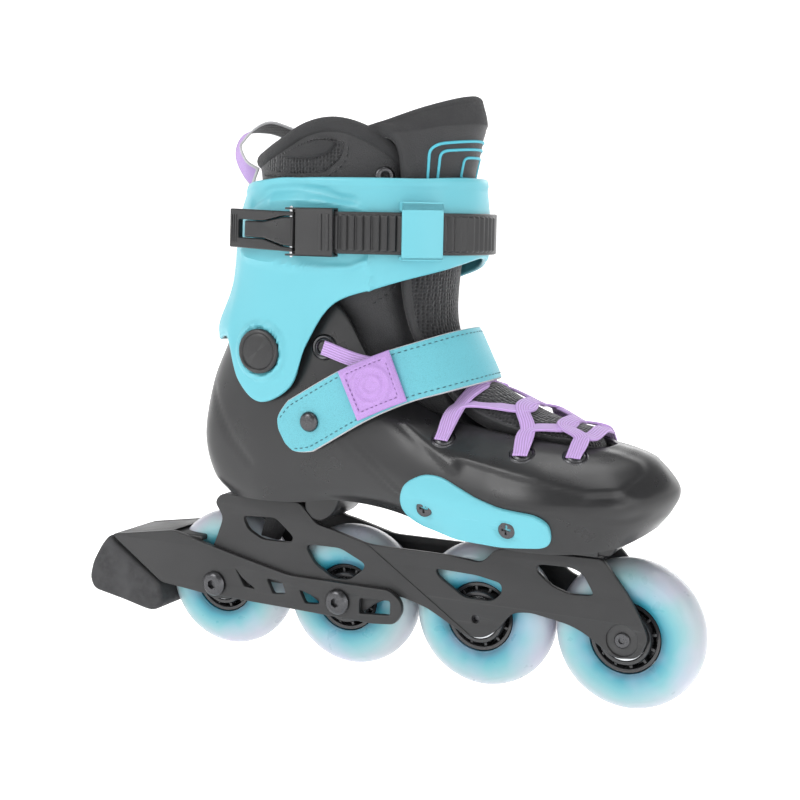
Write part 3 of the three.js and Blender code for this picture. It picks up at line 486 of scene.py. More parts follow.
def make(name, body, materials, ride, replaces=(), sharp=40, attribute="path"):
    """Turns a Body into a piece: placed, smoothed, riding on its CAD body."""
    mesh = bpy.data.meshes.new(name)
    spots = np.concatenate(body.spots)
    mesh.from_pydata(put(spots).tolist(), [], body.faces)
    mesh.polygons.foreach_set("material_index", body.kinds)
    layer = mesh.attributes.new(attribute, "FLOAT_VECTOR", "POINT")
    layer.data.foreach_set("vector", np.concatenate(body.marks).astype(np.float32).ravel())
    work = bmesh.new()
    work.from_mesh(mesh)
    bmesh.ops.remove_doubles(work, verts=work.verts, dist=SAME_SPOT)
    bmesh.ops.dissolve_degenerate(work, dist=SAME_SPOT / 10, edges=work.edges)
    bmesh.ops.recalc_face_normals(work, faces=work.faces)
    work.to_mesh(mesh)
    work.free()
    mesh.validate()
    mesh.shade_smooth()
    mesh.set_sharp_from_angle(angle=math.radians(sharp))
    piece = bpy.data.objects.new(name, mesh)
    for key in [materials] if isinstance(materials, str) else materials:
        mesh.materials.append(mat[key])
    bpy.context.scene.collection.objects.link(piece)
    if ride:
        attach(piece, ride)
    if replaces:
        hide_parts(*([replaces] if isinstance(replaces, str) else replaces))
    return piece


def lathe(profile, x, z, sides=72, closed=False):
    """Net of revolution about the Y axis through (x, z). A radius may be a function of the angle."""
    angles = np.arange(sides) * 2 * math.pi / sides
    rows = []
    for radius, y in profile:
        r = radius(angles) if callable(radius) else np.full(sides, float(radius))
        rows.append(np.stack([x + r * np.cos(angles), np.full(sides, float(y)), z + r * np.sin(angles)], 1))
    if closed:
        rows.append(rows[0])
    return np.array(rows)


def hexagon(apothem):
    return lambda angles: apothem / np.cos((angles + math.pi / 6) % (math.pi / 3) - math.pi / 6)


def cross(half_width, reach):
    def radius(angles):
        folded = np.abs((angles + math.pi / 4) % (math.pi / 2) - math.pi / 4)
        flat = reach / np.cos(folded)
        side = half_width / np.maximum(np.sin(folded), 1e-6)
        return np.where(reach * np.tan(folded) <= half_width, flat, np.minimum(side, flat))
    return radius


def soften(profile, radius, count=4):
    """Rounds each inner corner of an open [radius, y] profile."""
    points = [np.array(p, float) for p in profile]
    out = [points[0]]
    for before, corner, after in zip(points[:-2], points[1:-1], points[2:]):
        reach = [min(radius, np.linalg.norm(end - corner) * 0.45) for end in (before, after)]
        start = corner + unit(before - corner) * reach[0]
        stop = corner + unit(after - corner) * reach[1]
        for t in np.linspace(0, 1, count):
            out.append((1 - t) ** 2 * start + 2 * t * (1 - t) * corner + t * t * stop)
    return out + [points[-1]]


def rounded(points, radius, count=5):
    """Closed outline with each corner rounded as a quadratic arc."""
    corners = [np.array(p, float) for p in points]
    out = []
    for i, corner in enumerate(corners):
        ends = []
        for end in (corners[i - 1], corners[(i + 1) % len(corners)]):
            reach = min(radius, np.linalg.norm(end - corner) * 0.45)
            ends.append(corner + unit(end - corner) * reach)
        for t in np.linspace(0, 1, count):
            out.append((1 - t) ** 2 * ends[0] + 2 * t * (1 - t) * corner + t * t * ends[1])
    return np.array(out)


def plate(outline, y0, y1, radius=2.0, holes=(), hole_radius=3.0, bevel=0.5, bevel_steps=2):
    """Plate in the XZ plane between y0 and y1, with holes and rounded edges: its vertices and faces."""
    data = bpy.data.curves.new("plate", "CURVE")
    data.dimensions = "2D"
    data.fill_mode = "BOTH"
    data.extrude = (y1 - y0) / 2 - bevel
    data.bevel_depth = bevel
    data.bevel_resolution = bevel_steps
    data.offset = -bevel
    rings = [rounded(outline, radius)] + [rounded(hole, hole_radius) for hole in holes]
    for ring in rings:
        spline = data.splines.new("POLY")
        spline.points.add(len(ring) - 1)
        spline.points.foreach_set("co", np.insert(ring, [2, 2], (0, 1), 1).ravel())
        spline.use_cyclic_u = True
    holder = bpy.data.objects.new("plate", data)
    bpy.context.scene.collection.objects.link(holder)
    depsgraph = bpy.context.evaluated_depsgraph_get()
    mesh = bpy.data.meshes.new_from_object(holder.evaluated_get(depsgraph))
    flat = np.empty(len(mesh.vertices) * 3)
    mesh.vertices.foreach_get("co", flat)
    x, z, y = flat.reshape(-1, 3).T
    faces = [list(polygon.vertices) for polygon in mesh.polygons]
    bpy.data.objects.remove(holder)
    bpy.data.curves.remove(data)
    bpy.data.meshes.remove(mesh)
    return np.stack([x, (y0 + y1) / 2 + y, z], 1), faces


def block(low, high, bevel=0.6, segments=3):
    """Box with rounded edges: its vertices and faces."""
    work = bmesh.new()
    bmesh.ops.create_cube(work, size=1)
    size = np.subtract(high, low)
    middle = np.add(high, low) / 2
    for vertex in work.verts:
        vertex.co = Vector(np.array(vertex.co) * size + middle)
    bmesh.ops.bevel(work, geom=list(work.edges), offset=bevel, segments=segments, profile=0.5, affect="EDGES")
    spots = np.array([vertex.co for vertex in work.verts])
    faces = [[vertex.index for vertex in face.verts] for face in work.faces]
    work.free()
    return spots, faces


def turned_about(spots, angle, centre=(0, 0)):
    """Spots turned about a vertical line, then moved to the centre."""
    x, y, z = np.asarray(spots, float).T
    c, s = math.cos(angle), math.sin(angle)
    return np.stack([x * c - y * s + centre[0], x * s + y * c + centre[1], z], 1)


def edge_steps(length, edge, pitch):
    """Places along a length, close together near both ends and about a pitch apart between them."""
    near = [edge * share for share in (0, 0.04, 0.16, 0.4, 0.7, 1)]
    middle = np.linspace(edge, length - edge, max(2, int((length - 2 * edge) / pitch) + 1))[1:-1]
    return np.array(near + list(middle) + [length - d for d in reversed(near)])


def pad(net, thickness, edge=0.8, pitch=1.5, crown=0.0, relief=None, under=1.0):
    """
    Closed strip or pad on an open net, with rounded edges. Gives the outer and inner nets and, for each
    point, how far it lies along the columns and across the rows, in millimetres.
    """
    net = np.asarray(net, float)
    fine = refine(net, 4, 4, False)
    across = np.concatenate([[0], np.cumsum(np.linalg.norm(np.diff(fine, axis=0), axis=-1).mean(1))])
    along = np.concatenate([[0], np.cumsum(np.linalg.norm(np.diff(fine, axis=1), axis=-1).mean(0))])
    vs = edge_steps(across[-1], edge, pitch)
    us = edge_steps(along[-1], edge, pitch)
    rows = evaluate(net, np.interp(vs, across, np.arange(len(across)) / 4))
    surface = evaluate(rows.swapaxes(0, 1), np.interp(us, along, np.arange(len(along)) / 4)).swapaxes(0, 1)
    normal = normals(surface, False)

    def fall(places, total):
        near = np.clip(np.minimum(places, total - places) / edge, 0, 1)
        return np.sqrt(np.maximum(0, 1 - (1 - near) ** 2))

    profile = fall(vs, across[-1])[:, None] * fall(us, along[-1])[None, :]
    a, b = np.meshgrid(us, vs)
    lift = crown * np.sin(math.pi * a / along[-1]) ** 0.5 * np.sin(math.pi * b / across[-1]) ** 0.5
    if relief is not None:
        lift = lift + relief(a, b, along[-1], across[-1])
    middle = surface + normal * thickness / 2
    outer = middle + normal * ((thickness / 2 + lift) * profile)[..., None]
    inner = middle - normal * (thickness / 2 * profile * under)[..., None]
    return outer, inner, np.stack([a, b, np.zeros_like(a)], -1)


def add_pad(body, net, thickness, outer_kind=0, inner_kind=0, rim_kind=None, rim=0.5, **options):
    """Adds a pad to a body, its rim in a material of its own if one is given."""
    outer, inner, marks = pad(net, thickness, **options)
    rows, columns = outer.shape[:2]
    kinds = np.full((rows - 1, columns - 1), outer_kind)
    if rim_kind is not None:
        a, b = marks[..., 0], marks[..., 1]
        near = np.minimum(np.minimum(a, a[0, -1] - a), np.minimum(b, b[-1, 0] - b))
        kinds[near[:-1, :-1] < rim] = rim_kind
        kinds[near[1:, 1:] < rim] = rim_kind
    body.grid(outer, kind=kinds.ravel(), marks=marks)
    inner_kinds = np.where(kinds == outer_kind, inner_kind, kinds)
    body.grid(inner, kind=inner_kinds.ravel(), marks=marks, flip=True)
    return outer


def ribbon(path, outward, width, rows=(-1, 1)):
    """Open net of a flat strip that follows a path with its face turned outward."""
    path, outward = np.asarray(path, float), np.asarray(outward, float)
    along = np.gradient(path, axis=0)
    edge = unit(np.cross(outward, along)) * width / 2
    return np.array([path + edge * share for share in rows])


def stitches(body, path, outward, length=2.2, gap=1.3, radius=0.3, kind=0):
    """Row of thread stitches along a path on a surface, each a short arched bead."""
    path, outward = np.asarray(path, float), unit(np.asarray(outward, float))
    run = np.concatenate([[0], np.cumsum(np.linalg.norm(np.diff(path, axis=0), axis=1))])
    shares = np.array([-0.5, -0.38, -0.12, 0.12, 0.38, 0.5])
    girth = np.array([0.15, 0.8, 1, 1, 0.8, 0.15])
    for start in np.arange(gap, run[-1] - length, length + gap):
        at = start + length * (shares + 0.5)
        spots = np.stack([np.interp(at, run, path[:, k]) for k in range(3)], 1)
        up = unit(np.stack([np.interp(at, run, outward[:, k]) for k in range(3)], 1))
        side = unit(np.cross(np.gradient(spots, axis=0), up))
        rise = radius * (0.7 - 6 * shares ** 2 * 0.6)
        rings = [spots + up * (rise + radius * girth * math.sin(a))[:, None]
                 + side * (radius * 1.15 * girth * math.cos(a))[:, None]
                 for a in np.arange(6) * math.pi / 3]
        net = np.array(rings)
        body.grid(net, wrap_rows=True, kind=kind)
        for column in (0, -1):
            base = np.arange(6) * net.shape[1] + (0 if column == 0 else net.shape[1] - 1)
            body.faces.append([int(v) + body.count - net.shape[0] * net.shape[1] for v in base])
            body.kinds.append(kind)
    return body


def wall_rows(outer, inner, lip=5, foot=True):
    """Rows of a closed wall: outer upwards, a rounded lip, inner downwards, and a rounded foot."""
    def cap(a, b, before):
        middle, half = (a + b) / 2, (a - b) / 2
        out = unit(a - before) * np.linalg.norm(half, axis=-1, keepdims=True)
        turns = np.linspace(0, math.pi, lip + 2)[1:-1]
        return [middle + half * math.cos(t) + out * math.sin(t) for t in turns]

    rows = list(outer) + cap(outer[-1], inner[-1], outer[-2]) + list(inner[::-1])
    if foot:
        rows += cap(inner[0], outer[0], inner[1])
    return np.array(rows)


def close_floor(net, shares=(0.8, 0.55, 0.28, 0)):
    """Rows that carry a loop's first row in to the centre line, the innermost first."""
    first = net[0]
    return np.array([first * (1, share, 1) for share in shares][::-1])


def resample(outline, pitch):
    closed = np.concatenate([outline, outline[:1]])
    run = np.concatenate([[0], np.cumsum(np.linalg.norm(np.diff(closed, axis=0), axis=1))])
    at = np.linspace(0, run[-1], max(8, int(run[-1] / pitch)), endpoint=False)
    return np.stack([np.interp(at, run, closed[:, k]) for k in (0, 1)], 1)


def clip(outline, a, b):
    """The part of a closed outline on the left of the line from a to b."""
    a, b = np.array(a, float), np.array(b, float)
    normal = np.array([a[1] - b[1], b[0] - a[0]])
    out = []
    points = [np.array(p, float) for p in outline]
    for p, q in zip(points, points[1:] + points[:1]):
        at_p, at_q = (p - a) @ normal, (q - a) @ normal
        if at_p >= 0:
            out.append(p)
        if at_p * at_q < 0:
            out.append(p + (q - p) * at_p / (at_p - at_q))
    return out


class Surface:
    """A finished skin to lay other pieces on, looked at along Y."""

    def __init__(self, net):
        faces = grid_faces(*net.shape[:2], False, True)
        self.tree = BVHTree.FromPolygons([Vector(p) for p in net.reshape(-1, 3)], faces.tolist())

    def under(self, x, z, side):
        """Point and outward normal of the skin at (x, z). Side is -1 for lateral, 1 for medial."""
        spot, normal, _, _ = self.tree.ray_cast(Vector((x, side * 120, z)), Vector((0, -side, 0)))
        if spot is None:
            spot, normal, _, _ = self.tree.find_nearest(Vector((x, side * 40, z)))
        normal = np.array(normal)
        return np.array(spot), normal * (1 if normal[1] * side > 0 else -1)


def cover(body, surface, outline, centre, side, height, edge, sunk=0.4, kind=0, relief=None, pitch=1.6):
    """Adds a plate that hugs a surface, its edge rounded. The outline is star-shaped about its centre."""
    rim = resample(outline, pitch)
    centre = np.array(centre, float)
    steps = [(0, -sunk), (0, height - edge)]
    steps += [(edge * (1 - math.cos(t)), height - edge + edge * math.sin(t))
              for t in (0.4, 0.8, 1.2, math.pi / 2)]
    rows = [(rim + unit(centre - rim) * inset, lift) for inset, lift in steps]
    inner = rows[-1][0]
    rows += [(centre + (inner - centre) * share, height) for share in np.linspace(0.93, 0.002, 14)]
    net = []
    for spots, lift in rows:
        row = []
        for x, z in spots:
            spot, normal = surface.under(x, z, side)
            extra = relief(x, z) if relief and lift == height else 0
            row.append(spot + normal * (lift + extra))
        net.append(row)
    body.grid(np.array(net), wrap_columns=True, kind=kind)
    return body


# ---------------------------------------------------------------- boot shell

SHELL_WALL = 4
SHELL_RINGS = [
    foot_ring([[-113, 0, 90], [-105, 20, 90], [-85, 29, 90], [-60, 29.5, 91], [-35, 29, 94.5], [-8, 29, 93],
               [20, 34, 88.5], [50, 42, 84], [85, 43, 83], [113, 31, 86], [126, 0, 92]]),
    foot_ring([[-122, 0, 101], [-112, 25, 101], [-86, 33, 101], [-60, 34, 102], [-35, 34.5, 102],
               [-8, 37, 101], [20, 41, 98.5], [50, 45, 96], [85, 46, 96], [117, 33, 98], [133, 0, 101]]),
    foot_ring([[-127, 0, 122], [-116, 27, 122], [-88, 36, 122], [-60, 38, 121], [-35, 39.5, 119],
               [-6, 42, 115], [22, 45.5, 110], [52, 48, 106], [86, 47.5, 107], [120, 34, 109],
               [136.5, 0, 112]]),
    foot_ring([[-124, 0, 150], [-112, 25, 150], [-88, 35, 150], [-62, 38, 150], [-38, 39.5, 147],
               [-9, 38.5, 136], [20, 40.5, 127], [51, 42, 121.5], [83, 40, 120], [113, 27, 121],
               [127, 0, 124.5]]),
    foot_ring([[-114.5, 0, 172], [-106, 21, 172], [-86, 33, 174], [-60, 36, 175], [-37, 37.5, 171],
               [-11, 35, 150], [17, 31, 136.5], [46, 32, 130.5], [78, 31, 127.5], [104, 21.5, 127],
               [117, 0, 129.5]]),
    foot_ring([[-107, 0, 190], [-100, 18, 192], [-82, 31, 195], [-58, 34.5, 197], [-33, 35, 194],
               [-12, 31, 163], [14, 23, 143.5], [42, 22, 136.5], [73, 21.5, 132.5], [96, 15.5, 130.8],
               [106, 0, 132]], [0, 0, 0, 0, 0, 5, 10, 9, 3, 0, 0]),
]
shell_net = refine(SHELL_RINGS, 12, 12, True)
shell_surface = Surface(shell_net)
HEEL_CREASE = [(-112, 148), (-105.5, 136.7), (-97.1, 124.3), (-84, 110.5)]
SIDE_LINES = [(-27, 131), (6.5, 104.7)]
EYELET_PANEL = [(3, 144), (4.3, 138.3), (20, 128.2), (38.2, 117.2), (38.2, 123.8), (64.4, 118.9),
                (102.6, 113.1), (117, 113.5), (124, 121), (116, 136), (60, 150), (20, 162), (3, 165)]
TOE_RECESS = (114.5, 106.6)


def shell_relief(net):
    """How far the moulded details stand out of the shell's skin, in millimetres."""
    spots = net[..., [0, 2]]
    side_on = step(np.abs(net[..., 1]) - 12, 8)
    lift = 0.8 * groove(path_distance(spots, HEEL_CREASE), 1.7)
    lines = path_distance(spots, SIDE_LINES)
    lift += 0.75 * groove(np.abs(lines - 1.9), 0.8) + 0.25 * step(1.9 - lines, 1)
    lift += 1.1 * step(depth_in(spots, EYELET_PANEL), 1.8)
    offset = spots - TOE_RECESS
    ellipse = np.hypot(offset[..., 0] / 13, (offset[..., 1] + 0.12 * offset[..., 0]) / 6.5)
    lift -= 0.9 * step(1 - ellipse, 0.35)
    return lift * side_on


def build_shell():
    out = shell_net + normals(shell_net, True) * shell_relief(shell_net)[..., None]
    inner = shell_net - normals(shell_net, True) * SHELL_WALL
    inner[0] = shell_net[0] * (0.96, 0.86, 1) + (0, 0, SHELL_WALL)
    rows = wall_rows(out, inner, foot=False)
    rows = np.concatenate([close_floor(out), rows, close_floor(inner)[::-1]])
    body = Body().grid(rows, wrap_columns=True)
    for low, high in (((-108, -16.5, 88.3), (-60, 16.5, 96)), ((51, -16.5, 77.5), (102, 16.5, 90))):
        body.add(*block(low, high, 1.2))
    body.add(*plate([[-62, 80.5], [-52, 78], [-44, 84], [-38, 98],
                     [-62, 98]], -16, 16, radius=6, bevel=1.5))
    body.add(*plate([[98, 84], [98, 78.2], [108, 78.2], [113, 88]], -15, 15, radius=3, bevel=1.2))
    make("boot_shell_skin", body, "shell", "chassis", "boot_shell")


build_shell()

# ---------------------------------------------------------------- sliders and their screws

SLIDER_SCREWS = [(21.3, 98.9), (66.6, 94)]
SLIDER = [[6.8, 101.9], [11.2, 110.9], [21.6, 116.1], [30.7, 115.8], [50, 107.6], [62.6, 104.1],
          [81, 102.6], [87.2, 98.6], [88.1, 90.5], [85.1, 87], [63.1, 84.6], [37.8, 85], [15.6, 89.8],
          [8.2, 94.7]]


def bolt(body, x, z, side, face, radius, height, drive, depth=1.5, rise=0.45):
    """Adds a domed screw head on the face at |y|, with a hollow drive."""
    top = face + height
    rows = [(0.01, top - depth), (drive, top - depth), (drive, top - 0.05), (0.62 * radius, top),
            (0.86 * radius, top - 0.22 * height), (0.97 * radius, face + rise * height + 0.1),
            (radius, face + rise * height - 0.15), (radius, face - 0.5), (0.01, face - 0.5)]
    body.grid(lathe([(r, side * y) for r, y in rows], x, z), wrap_columns=True)
    return body


def dent_round(places, radius, depth):
    return lambda x, z: -depth * max(float(step(radius - math.hypot(x - a, z - b), 1.0)) for a, b in places)


for name, side in (("lateral", -1), ("medial", 1)):
    skin = cover(Body(), shell_surface, rounded(SLIDER, 4), (48, 98), side, 2.9, 1.5,
                 relief=dent_round(SLIDER_SCREWS, 5.2, 0.8), pitch=1.2)
    make(f"slider_{name}_cover", skin, "aqua", "chassis", f"slider_{name}")
    for i, (x, z) in enumerate(SLIDER_SCREWS):
        spot, _ = shell_surface.under(x, z, side)
        head = bolt(Body(), x, z, side, abs(spot[1]) + 1.7, 4.4, 1.5, cross(0.6, 2.3), depth=1.1)
        make(f"slider_screw_{name}_{i + 1}_head", head, "dark_steel", "chassis",
             f"slider_screw_{name}_{i + 1}", sharp=30)

# ---------------------------------------------------------------- frame

PLATE_IN, PLATE_OUT = 13.5, 16.6
FRAME = [[-118.3, 82.9], [-114.1, 88], [-64.7, 88], [-54.1, 77.2], [-46.2, 75.7], [-22.8, 69.7], [22, 69.6],
         [41.2, 67.7], [49, 76.2], [99.9, 77.2], [104.6, 77.2], [117.5, 61.3], [124.3, 50.3], [128.8, 40],
         [124, 30], [112, 28.5], [97.5, 38.4], [88.5, 42.1], [68.1, 45.5], [58, 44], [51, 34.3], [43, 28.5],
         [34, 28.5], [23.5, 34.1], [11.7, 40.2], [-3.9, 44.5], [-18, 39], [-29, 30], [-43, 28.5], [-52, 35],
         [-64, 42], [-90, 42], [-101, 35], [-109, 28.5], [-122, 28.5], [-128, 38], [-124, 50],
         [-118.3, 59.7], [-113.4, 72.5], [-113.4, 76.1]]
REAR_WINDOWS = [
    [[-100.1, 76.9], [-79.4, 78], [-67.9, 68.5], [-69.9, 65.3], [-87.6, 65.1], [-97.2, 70]],
    [[-60.5, 64], [-57.9, 65.8], [-39.5, 65.9], [-25.2, 59.4], [-25.2, 56.5], [-34, 49.3], [-43.2, 48.9],
     [-55.1, 55.7]],
]
FRONT_WINDOWS = [
    [[15.5, 61.7], [38.5, 60.9], [52, 58.5], [52.5, 53.2], [47.1, 48.5], [32.2, 48.5], [16.9, 58.1]],
    [[70.3, 69.3], [70.9, 66.7], [79.1, 60.5], [88.7, 57.6], [100.9, 58.5], [94.7, 68.7], [88.7, 71.1],
     [72.6, 70.8]],
]
FOLD = ((22.8, 38.3), (-22.2, 69.1))
FOLD_RISE = 0.45


def circle(radius, x, z, count=28):
    angles = np.arange(count) * 2 * math.pi / count
    return np.stack([x + radius * np.cos(angles), z + radius * np.sin(angles)], 1)


def build_frame():
    body = Body()
    for side in (-1, 1):
        small = [circle(8, axle_x[3], AXLE_Z), circle(2.1, axle_x[2], AXLE_Z)]
        if side > 0:
            small = [circle(4.2, axle_x[3], AXLE_Z), circle(8, axle_x[2], AXLE_Z)]
        y0, y1 = sorted((side * PLATE_IN, side * (PLATE_OUT - FOLD_RISE)))
        body.add(*plate(FRAME, y0, y1, 4, REAR_WINDOWS + FRONT_WINDOWS + small, bevel=0.5))
        y0, y1 = sorted((side * (PLATE_OUT - 1.5), side * PLATE_OUT))
        rear = clip(FRAME, *FOLD)
        body.add(*plate(rear, y0, y1, 3, REAR_WINDOWS, bevel=0.42))
        sunk = PLATE_OUT - 1.7
        floor = axle_x[3] if side < 0 else axle_x[2]
        body.grid(lathe([(0.01, side * sunk), (8.3, side * sunk), (8.3, side * (PLATE_IN + 0.2)),
                         (0.01, side * (PLATE_IN + 0.2))], floor, AXLE_Z, 40), wrap_columns=True)
        for x in axle_x:
            body.grid(lathe([(4.3, side * 12.4), (6, side * 12.4), (6, side * 14), (4.3, side * 14)],
                            x, AXLE_Z, 36), wrap_columns=True)
    for x0, x1, top in ((-113, -65, 88), (53, 101, 77.2)):
        body.add(*block((x0, -15, top - 3), (x1, 15, top), 0.7))
    for x0, x1, top in ((-110, -104, 85.2), (-84, -76, 85.2), (57, 63, 74.4), (88, 94, 74.4)):
        body.add(*block((x0, -13.8, top - 4.5), (x1, 13.8, top), 0.8))
    make("frame_body", body, "frame", "chassis", "frame", sharp=32)


build_frame()
for name, x, seat in (("rear", -92, 84.7), ("front", 77, 73.9)):
    low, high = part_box(f"{name}_mounting_bolt")
    profile = [(hexagon(2.6), seat - 1.4), (hexagon(2.6), seat - 3.9), (5.6, seat - 4), (6.3, seat - 3.3),
               (6.3, seat), (3.9, seat), (3.9, high.z / MM)]
    turned = lathe([(0.01, seat - 1.4)] + profile + [(0.01, high.z / MM)], 0, 0, 48)
    net = np.stack([turned[..., 0] + x, turned[..., 2], turned[..., 1]], -1)
    make(f"{name}_bolt_detail", Body().grid(net, wrap_columns=True), "dark_steel", "chassis",
         f"{name}_mounting_bolt", sharp=30)

# ---------------------------------------------------------------- wheels, bearings and axles

TYRE_HALF = [(38, 0), (37.85, 2), (37.35, 4.2), (36.3, 6.6), (34.7, 8.7), (32.5, 10.4), (29.8, 11.5),
             (27, 12), (23.5, 11.9), (20.6, 11.2), (18.3, 10.4)]
RIBS = 12


def build_wheel(number):
    x = axle_x[number - 1]
    wheel = f"wheel_{number}"
    half = soften(TYRE_HALF, 1.5, 3)
    profile = [(r, -y) for r, y in half[::-1]] + list(half[1:])
    profile.append((18.3, 0))
    net = lathe(profile, x, AXLE_Z, 128, closed=True)
    reach = (np.hypot(net[..., 0] - x, net[..., 2] - AXLE_Z) - 18.3) / 19.7
    body = Body().grid(net, wrap_columns=True, marks=np.repeat(reach.reshape(-1, 1), 3, 1))
    make(f"tyre_{number}_cast", body, "tyre", wheel, f"tyre_{number}", attribute="reach")

    body = Body()
    rim = [(15.7, 9), (16.1, 9.6), (17.6, 9.9), (18, 9.4)]
    core = [(11.3, 11.6), (11.6, 12), (13.1, 12), (13.6, 11.4)]
    for section in (rim, core):
        loop = section + [(r, -y) for r, y in section[::-1]]
        body.grid(lathe(loop, x, AXLE_Z, 96, closed=True), wrap_columns=True)
    web = [(13, 3), (13.9, 2.4), (15.2, 2.4), (16, 3.2), (16, -3.2), (15.2, -2.4), (13.9, -2.4), (13, -3)]
    body.grid(lathe(web, x, AXLE_Z, 96, closed=True), wrap_columns=True)
    for i in range(RIBS):
        spots, faces = block((12.6, -8.6, -0.8), (16.6, 8.6, 0.8), 0.45, 2)
        turn = 2 * math.pi * i / RIBS + 0.2
        c, s = math.cos(turn), math.sin(turn)
        spots = np.stack([x + spots[:, 0] * c - spots[:, 2] * s, spots[:, 1],
                          AXLE_Z + spots[:, 0] * s + spots[:, 2] * c], 1)
        body.add(spots, faces)
    make(f"hub_{number}_spoked", body, "gloss", wheel, f"hub_{number}")

    for name, side in (("lateral", -1), ("medial", 1)):
        race = [(4.15, 5), (4.15, 12), (6.1, 12), (6.3, 11.5), (9.3, 11.4), (9.5, 12), (11, 12), (11, 5)]
        body = Body().grid(lathe([(r, side * y) for r, y in race], x, AXLE_Z, 72, closed=True),
                           wrap_columns=True)
        make(f"bearing_{number}_{name}_race", body, "bright_steel", wheel,
             f"bearing_{number}_{name}", sharp=30)
    sleeve = [(4.15, -4.7), (5.3, -4.7), (5.6, -4.4), (5.6, 4.4), (5.3, 4.7), (4.15, 4.7)]
    make(f"spacer_{number}_turned", Body().grid(lathe(sleeve, x, AXLE_Z, 48, closed=True), wrap_columns=True),
         "bright_steel", "chassis", f"spacer_{number}", sharp=30)


def build_axle(number, side, face, radius, height, end):
    x = axle_x[number - 1]
    body = bolt(Body(), x, AXLE_Z, side, face, radius, height, hexagon(2.3), depth=2.2)
    shaft = [(0.01, face), (3.9, face), (3.9, -end + 0.5), (3.4, -end), (1.6, -end), (1.4, -end + 1),
             (0.01, -end + 1)]
    body.grid(lathe([(r, side * y) for r, y in shaft], x, AXLE_Z, 48), wrap_columns=True)
    make(f"axle_{number}_bolt", body, "dark_steel", "chassis", f"axle_{number}", sharp=30)


for number in (1, 2, 3, 4):
    build_wheel(number)
build_axle(1, -1, 20.6, 6.8, 3.5, 20.2)
build_axle(2, -1, 20.6, 6.8, 3.5, 20.2)
build_axle(3, 1, 15.1, 7.1, 2.2, 14)
build_axle(4, 1, PLATE_OUT, 6.6, 2.6, 16.3)

# ---------------------------------------------------------------- brake

ARM_IN, ARM_OUT = 16.9, 20.4
ARM = [[-185.7, 57.9], [-143.6, 64.7], [-115.3, 58.1], [-92.7, 53.2], [-68.7, 48.3], [-8.6, 47.8], [-2, 43],
       [-1, 37], [-5, 30], [-17.5, 28.6], [-64.6, 29.9], [-123.7, 31.3], [-151.6, 34]]
ARM_WINDOWS = [
    [[-102.4, 48], [-98.3, 43.2], [-89.6, 38], [-96.8, 38.5]],
    [[-82.6, 44.8], [-72.6, 43.8], [-70.6, 37.9], [-78.6, 36.8]],
    [[-62.3, 41.2], [-50, 37.8], [-50, 34.8], [-58.7, 34.2]],
    [[-26, 41.3], [-8, 42.2], [-8, 34.5], [-26, 33.1]],
]
PAD = [[-185.4, 54.6], [-152.6, 33.2], [-150, 20.7], [-156, 17], [-161.2, 16.8], [-178.2, 20.5],
       [-198.3, 24.1], [-201.3, 30.7], [-198.8, 40.7], [-192.2, 51.7], [-186.8, 57.5]]


def build_brake():
    body = Body()
    for side in (-1, 1):
        y0, y1 = sorted((side * ARM_IN, side * ARM_OUT))
        body.add(*plate(ARM, y0, y1, 3, ARM_WINDOWS, 1.5, bevel=0.6))
    body.add(*plate([[-185.6, 57.7], [-143.6, 64.6], [-150, 59], [-156.6, 36], [-185.2, 54.6]], -18, 18, 1,
                    bevel=0.5))
    body.add(*block((-150, -17.5, 60), (-126, 17.5, 63), 1))
    make("brake_bracket_arm", body, "frame", "chassis", "brake_bracket", sharp=32)

    body = Body().add(*plate(PAD, -21.3, 21.3, 3.5, bevel=2.4, bevel_steps=4))
    make("brake_pad_block", body, "pad", "chassis", "brake_pad", sharp=50)
    low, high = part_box("brake_pad_screw")
    x, top = (low.x + high.x) / 2 / MM - MIDDLE, high.z / MM
    turned = lathe([(0.01, top - 1.5), (cross(0.5, 1.8), top - 1.5), (cross(0.5, 1.8), top - 0.05),
                    (3, top), (4.1, top - 1), (4.1, top - 3.2), (2.2, top - 3.2), (2.2, low.z / MM),
                    (0.01, low.z / MM)],
                   0, 0, 48)
    net = np.stack([turned[..., 0] + x, turned[..., 2], turned[..., 1]], -1)
    make("brake_pad_screw_head", Body().grid(net, wrap_columns=True), "dark_steel", "chassis",
         "brake_pad_screw", sharp=30)


build_brake()

# ---------------------------------------------------------------- liner and footbed

